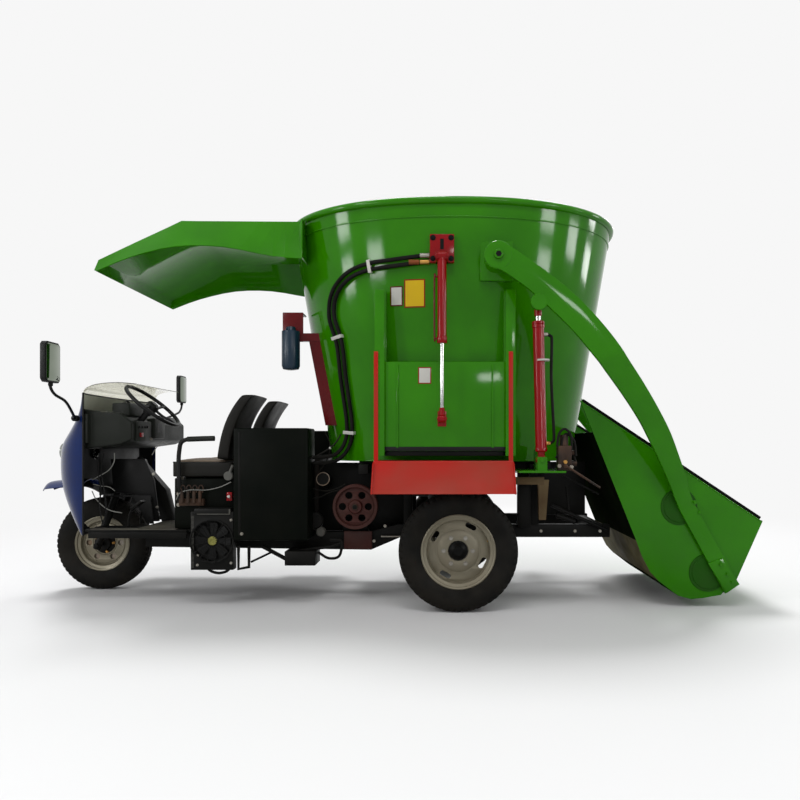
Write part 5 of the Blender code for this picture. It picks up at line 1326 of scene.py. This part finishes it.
def makeSeats():
    size = seatSize
    front, rear, half = size["front"], size["rear"], size["half"]
    base = cushion("seatCushion", (front, -half, size["low"]), (rear, half, size["high"] - 0.006),
                   (0.03, 0.012, 0.12))
    padded(base, "seatVinyl", ("seat_cushion",))
    for side, name in ((-1, "left"), (1, "right")):
        edge = side * size["padY"] - size["padHalf"]
        pad = cushion(name + "SeatPad", (front + 0.012, edge, size["padLow"]),
                      (rear - 0.055, edge + 2 * size["padHalf"], size["padHigh"]), (0.05, 0.05, 0.5))
        padded(pad, "seatTan")
        rest = backPiece(name + "Backrest", size["backHalf"], (0.22, 0.03, 0.03), 10, side)
        padded(rest, "seatVinyl", (name + "_backrest",))
        face = backPiece(name + "BackPad", size["faceHalf"], (0.5, 0.05, 0.05), 8, side, size["faceAhead"],
                         size["faceUp"])
        padded(face, "seatVinyl")
        course = [(front + 0.01, edge, 0.934), (rear - 0.06, edge, 0.934)]
        put(join(name + "Piping", [pipe("piping", course, 0.004, 0)]), "blackPlastic", "seat_cover")
    dress("seat_base", "blackSatin", "black_paint", 0.008)


armrestSize = dict(x=-1.305, base=-0.50, out=-0.548, tube=0.0138, pad=0.0175)


def makeArmrest():
    size = armrestSize
    x, base, y = size["x"], size["base"], size["out"]
    course = [(x, y + 0.03, 0.66), (x, y + 0.03, 0.72), (x, y, 0.81), (x, y, 1.0), (x + 0.04, y, 1.08),
              (x + 0.23, y, 1.09)]
    put(pipe("armrestTube", course, size["tube"], 8, 5), "blackPlastic", replaced=("armrest",))
    course = [(x + 0.055, y, 1.0845), (x + 0.15, y, 1.088), (x + 0.229, y, 1.09)]
    put(pipe("armrestPad", course, size["pad"], 6, 5), "greyPlastic")
    foot = block("armrestFoot", (x - 0.03, base - 0.008, 0.64), (x + 0.03, base - 0.0003, 0.74))
    put(foot, "blackPaint", "black_plastic")
    bolts("armrestBolts", [(x - 0.02, base - 0.008, z) for z in (0.655, 0.725)], 0.007)


mudguardLevels = ((-0.10, 0.800, 0.16), (-0.20, 0.800, 0.15), (-0.366, 0.785, 0.12), (-0.416, 0.765, 0.07))


def makeMudguard():
    rows = [[(noseSize["axle"] + along, half * k / 12, z - 0.05 * (k / 12) ** 2) for k in range(-12, 13)]
            for along, z, half in eased(mudguardLevels, 6)]
    put(sheetGrid("mudguard", rows, 0.006, -1.0), "bluePaint", replaced=("front_mudguard",))


makeFairing()
makeLamps()
makeScreen()
makeMirrors()
makeSteeringWheel()
makeDash()
makeCover()
makePedals()
makeFloor()
makeSeats()
makeArmrest()
makeMudguard()
print("cab made")


# Hoses and plates on the tub

hoseSize = dict(radius=0.0128, apart=0.039, clear=0.025, least=-0.455, clips=(0.185, 0.53, 0.765),
                sleeveRings=9)
hoseRoute = [
    # along the machine, height
    (0.3265, 2.205), (0.2965, 2.205), (0.12, 2.19), (-0.07, 2.175), (-0.21, 2.13), (-0.31, 2.03),
    (-0.335, 1.88), (-0.285, 1.70), (-0.262, 1.47), (-0.228, 1.20), (-0.24, 1.07), (-0.30, 0.987),
    (-0.40, 0.965), (-0.453, 0.965),
]


def hoseLine(aside):
    size = hoseSize
    points = []
    for i, (x, z) in enumerate(hoseRoute):
        before, after = hoseRoute[max(0, i - 1)], hoseRoute[min(len(hoseRoute) - 1, i + 1)]
        way = Vector((after[0] - before[0], after[1] - before[1])).normalized()
        x, z = x - aside * way.y, z + aside * way.x
        points.append([x, min(tubSide(x, z) - size["clear"], size["least"]), z])
    for one, other in ((0, 1), (-1, -2)):
        points[other][1:] = points[one][1:] = [points[other][1], points[one][2]]
    return [Vector(point) for point in (points[0], *eased(points[1:-1], 9), points[-1])]


def hoseClip(number, upper, lower, share):
    # A strap over both hoses, with a foot on the cone
    k = int(share * (len(upper) - 1))
    one, two = upper[k], lower[int(share * (len(lower) - 1))]
    along = (upper[k + 1] - upper[k - 1]).normalized()
    across = (two - one).normalized()
    out = along.cross(across).normalized()
    if out.y > 0:
        out = -out
    reach = (two - one).length / 2 + 0.018
    pieces = [block("strap", (-0.011, -reach, 0.0125), (0.011, reach, 0.0165), 0.001),
              block("foot", (-0.009, -0.006, -0.016), (0.009, 0.006, 0.0125), 0.001)]
    pieces += [block("end", (-0.011, end - 0.002, -0.012), (0.011, end + 0.002, 0.0165), 0.001)
               for end in (-reach, reach)]
    clip = join("hoseClip%d" % number, pieces)
    turn = Matrix((along, across, out)).transposed().to_4x4()
    clip.data.transform(Matrix.Translation((one + two) / 2) @ turn)
    put(clip, "whiteTie")


def makeHoses():
    size = hoseSize
    upper, lower = hoseLine(0.0), hoseLine(size["apart"])
    for name, line, material in (("upper", upper, "zincBolt"), ("lower", lower, "brass")):
        put(pipe(name + "HoseSkin", line, size["radius"], 0, 5), "rubber", replaced=(name + "_door_hose",))
        x, y, z = line[0]
        fitting = [rod("sleeve", (x - 0.060, y, z), (x - 0.012, y, z), 0.0145, 32, 0.002),
                   rod("nut", (x - 0.013, y, z), (x - 0.0015, y, z), 0.0165, 6, 0.001)]
        put(join(name + "HoseFitting", fitting), material)
    # Ribbed sleeve before the lower fitting
    profile = [(0.0125, -0.003), (0.0148, -0.002), (0.0152, 0.0), (0.0148, 0.002), (0.0125, 0.003)]
    rings = [lathe("ring", profile, lower[0] - Vector((0.068 + 0.007 * k, 0, 0)), (1, 0, 0), 32)
             for k in range(size["sleeveRings"])]
    put(join("hoseSleeve", rings), "orangeSleeve")
    for number, share in enumerate(size["clips"]):
        hoseClip(number, upper, lower, share)
    # A thin line from the last clip down to the box
    thin = [spot(341, 434, -0.56), spot(337, 441, -0.565), spot(330, 448, -0.57), spot(318, 455, -0.565),
            spot(309.5, 458.5, -0.56)]
    put(pipe("thinHose", thin, 0.005), "rubber")
    half = Vector((0.004, 0, 0.004))
    put(rod("thinHoseClip", thin[2] + half, thin[2] - half, 0.0072, 20), "whiteTie")


tubPlates = (
    # name, left, right, low, high, border, face
    ("warningBlank", 0.168, 0.298, 1.902, 2.072, "redPaint", "yellowPlate"),
    ("noticeBlank", 0.080, 0.158, 1.914, 2.034, "deepRed", "whiteTie"),
)


def tubPatch(name, left, right, low, high, out, thickness, material):
    across = [left + (right - left) * i / 6 for i in range(7)]
    up = [low + (high - low) * k / 8 for k in range(9)]
    rows = [[(x, tubSide(x, z) - out, z) for x in across] for z in up]
    put(sheetGrid(name, rows, thickness), material, "green_paint")


def makeTubPlates():
    inset = 0.007
    for name, left, right, low, high, border, face in tubPlates:
        tubPatch(name + "Border", left, right, low, high, 0.0022, 0.0012, border)
        tubPatch(name + "Face", left + inset, right - inset, low + inset, high - inset, 0.0032, 0.001, face)


# Radiator fan, pulley and the small parts along the frame

coolingSize = dict(front=-1.21, x=-1.074, outer=-0.60, fanZ=0.43, face=-0.5605, blades=8, ribs=16, fins=42)
bladeLevels = (
    # out from the axle, its two edges, twist
    (0.028, -0.012, 0.012, 0.0), (0.06, -0.022, 0.017, 0.002), (0.10, -0.033, 0.02, 0.003),
    (0.115, -0.026, 0.018, 0.003),
)


def makeFan():
    size = coolingSize
    x, y, z = at = (size["x"], size["face"], size["fanZ"])
    pieces = []
    for k in range(size["blades"]):
        c, s = math.cos(2 * math.pi * k / size["blades"]), math.sin(2 * math.pi * k / size["blades"])
        rows = []
        for out, low, high, twist in bladeLevels:
            edges = ((low, -0.0185 - twist), ((low + high) / 2, -0.0185), (high, -0.0175 + twist))
            rows.append([(x + out * c - across * s, y + depth, z + out * s + across * c)
                         for across, depth in edges])
        pieces.append(sheetGrid("blade", rows, 0.003))
    profile = [(0.0, 0.0), (0.034, 0.0), (0.034, 0.026), (0.030, 0.0305), (0.0, 0.0312)]
    pieces.append(lathe("hub", profile, at, steps=48, closed=False))
    put(join("fanBlades", pieces), "blackPlastic", None, "fan", ("radiator_fan",))
    profile = [(0.0, 0.0316), (0.009, 0.0316), (0.013, 0.0345), (0.026, 0.0345), (0.029, 0.032),
               (0.029, 0.029), (0.0, 0.029)]
    put(lathe("fanBoss", profile, at, steps=48, closed=False), "hubYellow", body="fan")


def makeRadiatorTrim():
    size = coolingSize
    x, face, z = size["x"], size["outer"], size["fanZ"]
    y = face - 0.0165
    inner, outer = (circle(x, z, r, size["ribs"], math.pi / size["ribs"]) for r in (0.03, 0.138))
    ribs = [pipe("rib", [(a, y, b), (c, y, d)], 0.0022, 0, 2) for (a, b), (c, d) in zip(inner, outer)]
    for r in (0.045, 0.092):
        ribs.append(lathe("guard", box((r - 0.002, r + 0.002), (-0.002, 0.002)), (x, y, z)))
    put(join("fanGuard", ribs), "blackPaint", "radiator_metal")
    bar = block("radiatorBar", (-1.170, face - 0.0055, 0.600), (-0.955, face + 0.004, 0.636), 0.003)
    put(bar, "greyCast")
    left = size["front"]
    fins = [block("fin", (left + 0.003, face - 0.0012, low), (left + 0.02, face, low + 0.003), 0)
            for low in (0.26 + 0.008 * k for k in range(size["fins"]))]
    put(join("radiatorFins", fins), "greyCast")
    loop = spots(-0.58, (206, 566), (211, 571), (219, 573), (227, 571), (231, 566))
    put(pipe("radiatorLoop", loop, 0.009, 8, 4), "blackPaint", "radiator_metal")
    places = spots(face - 0.001, (197.6, 555.5), (197.4, 565.0), (231, 520), (231, 563))
    bolts("radiatorBolts", places, 0.005, slotName="radiator_metal")


pulleySize = dict(place=(-0.171, -0.45, 0.638), half=0.0295, radius=0.1485, groove=0.1375, web=0.1215,
                  holeCircle=0.086, hole=0.0245, bore=0.0162)


def makePulley():
    size = pulleySize
    x, y, z = at = size["place"]
    half, outer, groove = size["half"], size["radius"], size["groove"]
    side = [(outer, half - 0.002), (outer, half - 0.004), (groove, 0.012), (outer, 0.004)]
    back = [(0.1465, half), (0.131, half), (0.127, half - 0.004), (0.126, 0.008), (0.118, 0.0095)]
    profile = side + [(r, -h) for r, h in side[::-1]] + [(r, -h) for r, h in back] + back[::-1]
    put(lathe("pulleyRim", profile, at, steps=96), "castIron", None, "pulley", ("drive_pulley",))
    holes = [circle(x, z, size["bore"], 32)]
    holes += [circle(u, w, size["hole"], 28) for u, w in circle(x, z, size["holeCircle"], 6)]
    web = slab("pulleyWeb", circle(x, z, size["web"], 96), "xz", y - 0.0105, y + 0.0105, 0.002, holes)
    put(web, "castIron", body="pulley")
    side = [(0.0158, 0.029), (0.040, 0.029), (0.044, 0.025), (0.049, 0.010)]
    hub = lathe("pulleyHub", [(r, -h) for r, h in side] + side[::-1], at)
    put(hub, "castIron", body="pulley")
    key = [rod("nut", (x, y - 0.030, z), (x, y - 0.0395, z), 0.022, 6, 0.002),
           rod("end", (x, y - 0.0395, z), (x, y - 0.0398, z), 0.011, 24, 0.0001)]
    put(join("pulleyKey", key), "rustyIron")


def spotRods(name, table, material):
    # Rods between two places in the photo: start, end, radius, depth
    for number, (start, end, radius, y) in enumerate(table):
        put(rod(name + str(number), spot(*start, y), spot(*end, y), radius, 20), material)


frameBraces = (((251, 562), (273, 551.5), 0.007, -0.52), ((262, 546), (288, 560), 0.013, -0.52),
               ((291, 551), (330, 547), 0.010, -0.52), ((330, 547), (342, 543), 0.008, -0.52))
engineCables = (((310, 488), (325, 491), (338, 488), (345, 484)),
                ((309, 499), (320, 497), (331, 492), (345, 489)),
                ((325, 432), (330, 445), (327, 460), (318, 473)))
engineBosses = (
    # right, down, depth, radius, length, finish
    (316, 520, -0.40, 0.055, 0.05, "blackPaint"), (322, 531, -0.42, 0.030, 0.06, "greyCast"),
    (300, 500, -0.36, 0.07, 0.025, "darkEngine"),
)


def makeFrameClutter():
    # Bracket, braces and a foot under the side box
    strap = spots(-0.60, (238.5, 546), (238.5, 569), (249, 567), (249, 546))
    put(pipe("boxHanger", strap, 0.011, 0), "blackPaint")
    spotRods("brace", frameBraces, "blackPaint")
    low, high = spots(-0.5, (288, 563), (318, 549))
    put(block("boxFoot", (low.x, -0.60, low.z), (high.x, -0.42, high.z), 0.004), "blackPaint")
    loop = spots(-0.52, (318, 552), (328, 558), (338, 557), (341.5, 549), (341, 541), (330, 540))
    put(pipe("drainLoop", loop, 0.009, 8, 4), "blackPaint")
    put(block("boxPlate", (-0.90, -0.6208, 0.47), (-0.885, -0.6195, 1.13), 0.0005), "blackPaint")
    bolts("boxBolts", spots(-0.6205, (241.7, 533.8)), 0.006, slotName="black_paint")
    # Ring, cables and casing between box and pulley
    at, way = spot(323, 479, -0.44), (0, -1, 0.2)
    profile = [(0.040, -0.005), (0.045, -0.005), (0.0465, 0.0), (0.045, 0.005), (0.040, 0.005)]
    put(lathe("filterRing", profile, at, way), "wornSteel")
    profile = [(0.0, 0.0), (0.044, 0.0), (0.046, -0.004), (0.046, -0.13), (0.0, -0.13)]
    put(lathe("filterCan", profile, at, way, 48, False), "blackPaint")
    for number, route in enumerate(engineCables):
        put(pipe("engineCable%d" % number, spots(-0.46, *route), 0.004), "rubber")
    for number, (right, down, y, radius, length, material) in enumerate(engineBosses):
        start = spot(right, down, y)
        boss = rod("engineBoss%d" % number, start, start - Vector((0, length, 0)), radius, 40, 0.006)
        put(boss, material, "cast_iron")
    put(spotBlock("gearFoot", (344, 549), (372, 531), (-0.405, -0.3805), 0.004, -0.40), "castIron")
    put(rod("brakeRod", *spots(-0.42, (381, 536.5), (402, 536.5)), 0.006, 20), "zincBolt")
    places = spots(-0.3805, (385, 526), (374, 541), (352, 526), (541, 531), (575, 531), (600, 531))
    bolts("railBolts", places, 0.006, slotName="black_paint")
    # Guard plate behind the pulley
    put(block("beltGuard", (-0.45, -0.276, 0.455), (0.155, -0.262, 0.925), 0.004), "blackPaint")


seatSide = dict(face=-0.545, valves=(182, 188, 194, 200), lever=(228, 476), button=(229.3, 496.5))


def makeSeatSide():
    # Small valves, their cable, a lever and a button on the side below the seat
    face = seatSide["face"]
    low, high = spots(face, (178, 506), (203, 499))
    pieces = [block("bar", (low.x, face + 0.01, low.z), (high.x, face + 0.045, high.z), 0.003)]
    for right in seatSide["valves"]:
        top, foot = spots(face, (right, 491), (right, 503))
        pieces.append(rod("spool", foot, top, 0.011, 24, 0.003))
        turns = ((0, 0), (-0.008, 0.022), (0.006, 0.038), (0.020, 0.022), (0.016, -0.01))
        pieces.append(pipe("loop", [top + Vector((across, 0, up)) for across, up in turns], 0.0035, 6))
    put(join("seatValves", pieces), "rustyIron")
    cable = spots(face - 0.004, (176, 500), (180, 493), (190, 490), (206, 490), (220, 487), (231, 482))
    put(pipe("seatCable", cable, 0.0032), "greyCable", "hose_rubber")
    hub = spot(*seatSide["lever"], face)
    lever = [rod("disc", hub, hub + Vector((0, 0.02, 0)), 0.030, 40, 0.003),
             rod("arm", hub + Vector((0, 0.01, 0)), spot(233, 465, face + 0.01), 0.010, 20, 0.003)]
    put(join("seatLever", lever), "greyCast", "worn_steel")
    x, y, z = spot(*seatSide["button"], face)
    plate = block("stopButton", (x - 0.017, y - 0.004, z - 0.028), (x + 0.017, y + 0.03, z + 0.028), 0.003)
    put(plate, "redPaint")
    top = rod("stopButtonTop", (x, y - 0.003, z), (x, y - 0.016, z), 0.010, 32, 0.003)
    put(top, "whiteTie", "red_paint")
    bolts("seatSideBolts", spots(-0.5225, (182.5, 478)), 0.006, slotName="black_plastic")


valveLoops = (((557, 447), (559, 434), (565, 429), (571, 436), (572, 450)),
              ((561, 449), (563, 438), (567, 434), (574, 441), (576, 456)),
              ((556, 458), (560, 452), (566, 450), (573, 455), (576, 464)))
valvePlugs = (((565, 462), "brass"), ((571, 467), "wornSteel"), ((559, 466), "wornSteel"))
linkageRods = (((563, 476), (599, 494), 0.007, -0.42), ((566.5, 486), (568.8, 510), 0.008, -0.42),
               ((551, 505), (607, 530), 0.012, -0.40), ((556, 515), (575, 522), 0.016, -0.40))


def makeRearClutter():
    # Short hoses looped over the valve
    for number, route in enumerate(valveLoops):
        put(pipe("valveLoop%d" % number, spots(-0.905 + 0.012 * number, *route), 0.0075, 8, 4), "rubber")
    for number, (place, material) in enumerate(valvePlugs):
        at = spot(*place, -0.91)
        plug = rod("valvePlug%d" % number, at, at - Vector((0, 0.02, 0)), 0.013, 6, 0.002)
        put(plug, material, "cast_iron")
    # Cross plate between the rails, with the beam end, posts and lever linkage below the tray
    put(block("rearPlate", (0.93, -0.236, 0.56), (1.40, -0.222, 0.93), 0.004), "blackPaint")
    put(spotBlock("beamEnd", (515, 484.5), (544, 477), (-0.615, -0.585), 0.003, -0.60), "tanSteel")
    slant = [place.xz for place in spots(-0.5, (538, 480), (549, 480), (546, 520), (539, 520))]
    put(slab("brownPost", slant, "xz", -0.50, -0.46), "tanSteel")
    put(spotBlock("blackPost", (518, 528), (531, 485), (-0.45, -0.38), 0.003, -0.45), "blackPaint")
    spotRods("linkage", linkageRods, "blackPaint")


makeHoses()
makeTubPlates()
makeFan()
makeRadiatorTrim()
makePulley()
makeFrameClutter()
makeSeatSide()
makeRearClutter()
print("hoses, plates and drive made")


# Plain nodes that keep their CAD form

plainNodes = (
    # node, finish, slot, edge
    ("canopy", "greenPaint", "green_paint", 0.0012),
    ("loading_bucket", "greenPaint", "green_paint", 0.002),
    ("left_arm_pivot_bracket", "greenPaint", "green_paint", 0.003),
    ("right_arm_pivot_bracket", "greenPaint", "green_paint", 0.003),
    ("left_lift_cylinder_bracket", "greenPaint", "green_paint", 0.002),
    ("right_lift_cylinder_bracket", "greenPaint", "green_paint", 0.002),
    ("discharge_chute", "fadedRed", "red_paint", 0.001),
    ("filter_bracket", "deepRed", "red_paint", 0.0012),
    ("filter_canister", "canisterBlue", "blue_paint", 0.001),
    ("control_valve", "rustyIron", "cast_iron", 0.0015),
    ("auger", "wornSteel", "worn_steel", 0.001),
    ("chassis_frame", "blackPaint", "black_paint", 0.003),
    ("rear_axle", "blackPaint", "black_paint", 0.002),
    ("front_fork", "blackPaint", "black_paint", 0.002),
    ("tub_subframe", "blackPaint", "primer_steel", 0.003),
    ("auger_gearbox", "blackPaint", "black_paint", 0.004),
    ("transfer_gearbox", "blackPaint", "black_paint", 0.002),
    ("engine_block", "darkEngine", "cast_iron", 0.006),
    ("equipment_box", "blackSatin", "black_paint", 0.002),
    ("fuel_tank", "blackSatin", "black_paint", 0.002),
    ("radiator", "radiatorMetal", "radiator_metal", 0.0015),
)
bucketBack = dict(ahead=2.3, steelFrom=0.18, steelTo=0.66)


def shadeBucket(piece):
    # The outside of its back takes a painted shade, dull and near black, and bare steel further down
    size = bucketBack
    for name in ("greenPaintedShade", "bareSteel"):
        piece.data.materials.append(finish(name))
    for face in piece.data.polygons:
        facesBack = abs(face.normal.y) < 0.3 and face.normal.x < -0.25 and face.normal.z < 0.5
        if facesBack and face.center.x < size["ahead"]:
            face.material_index = 2 if size["steelFrom"] < face.center.z < size["steelTo"] else 1


for row in plainNodes:
    dress(*row)
shadeBucket(bpy.data.objects["loading_bucket_dressed"])
print("plain nodes dressed")
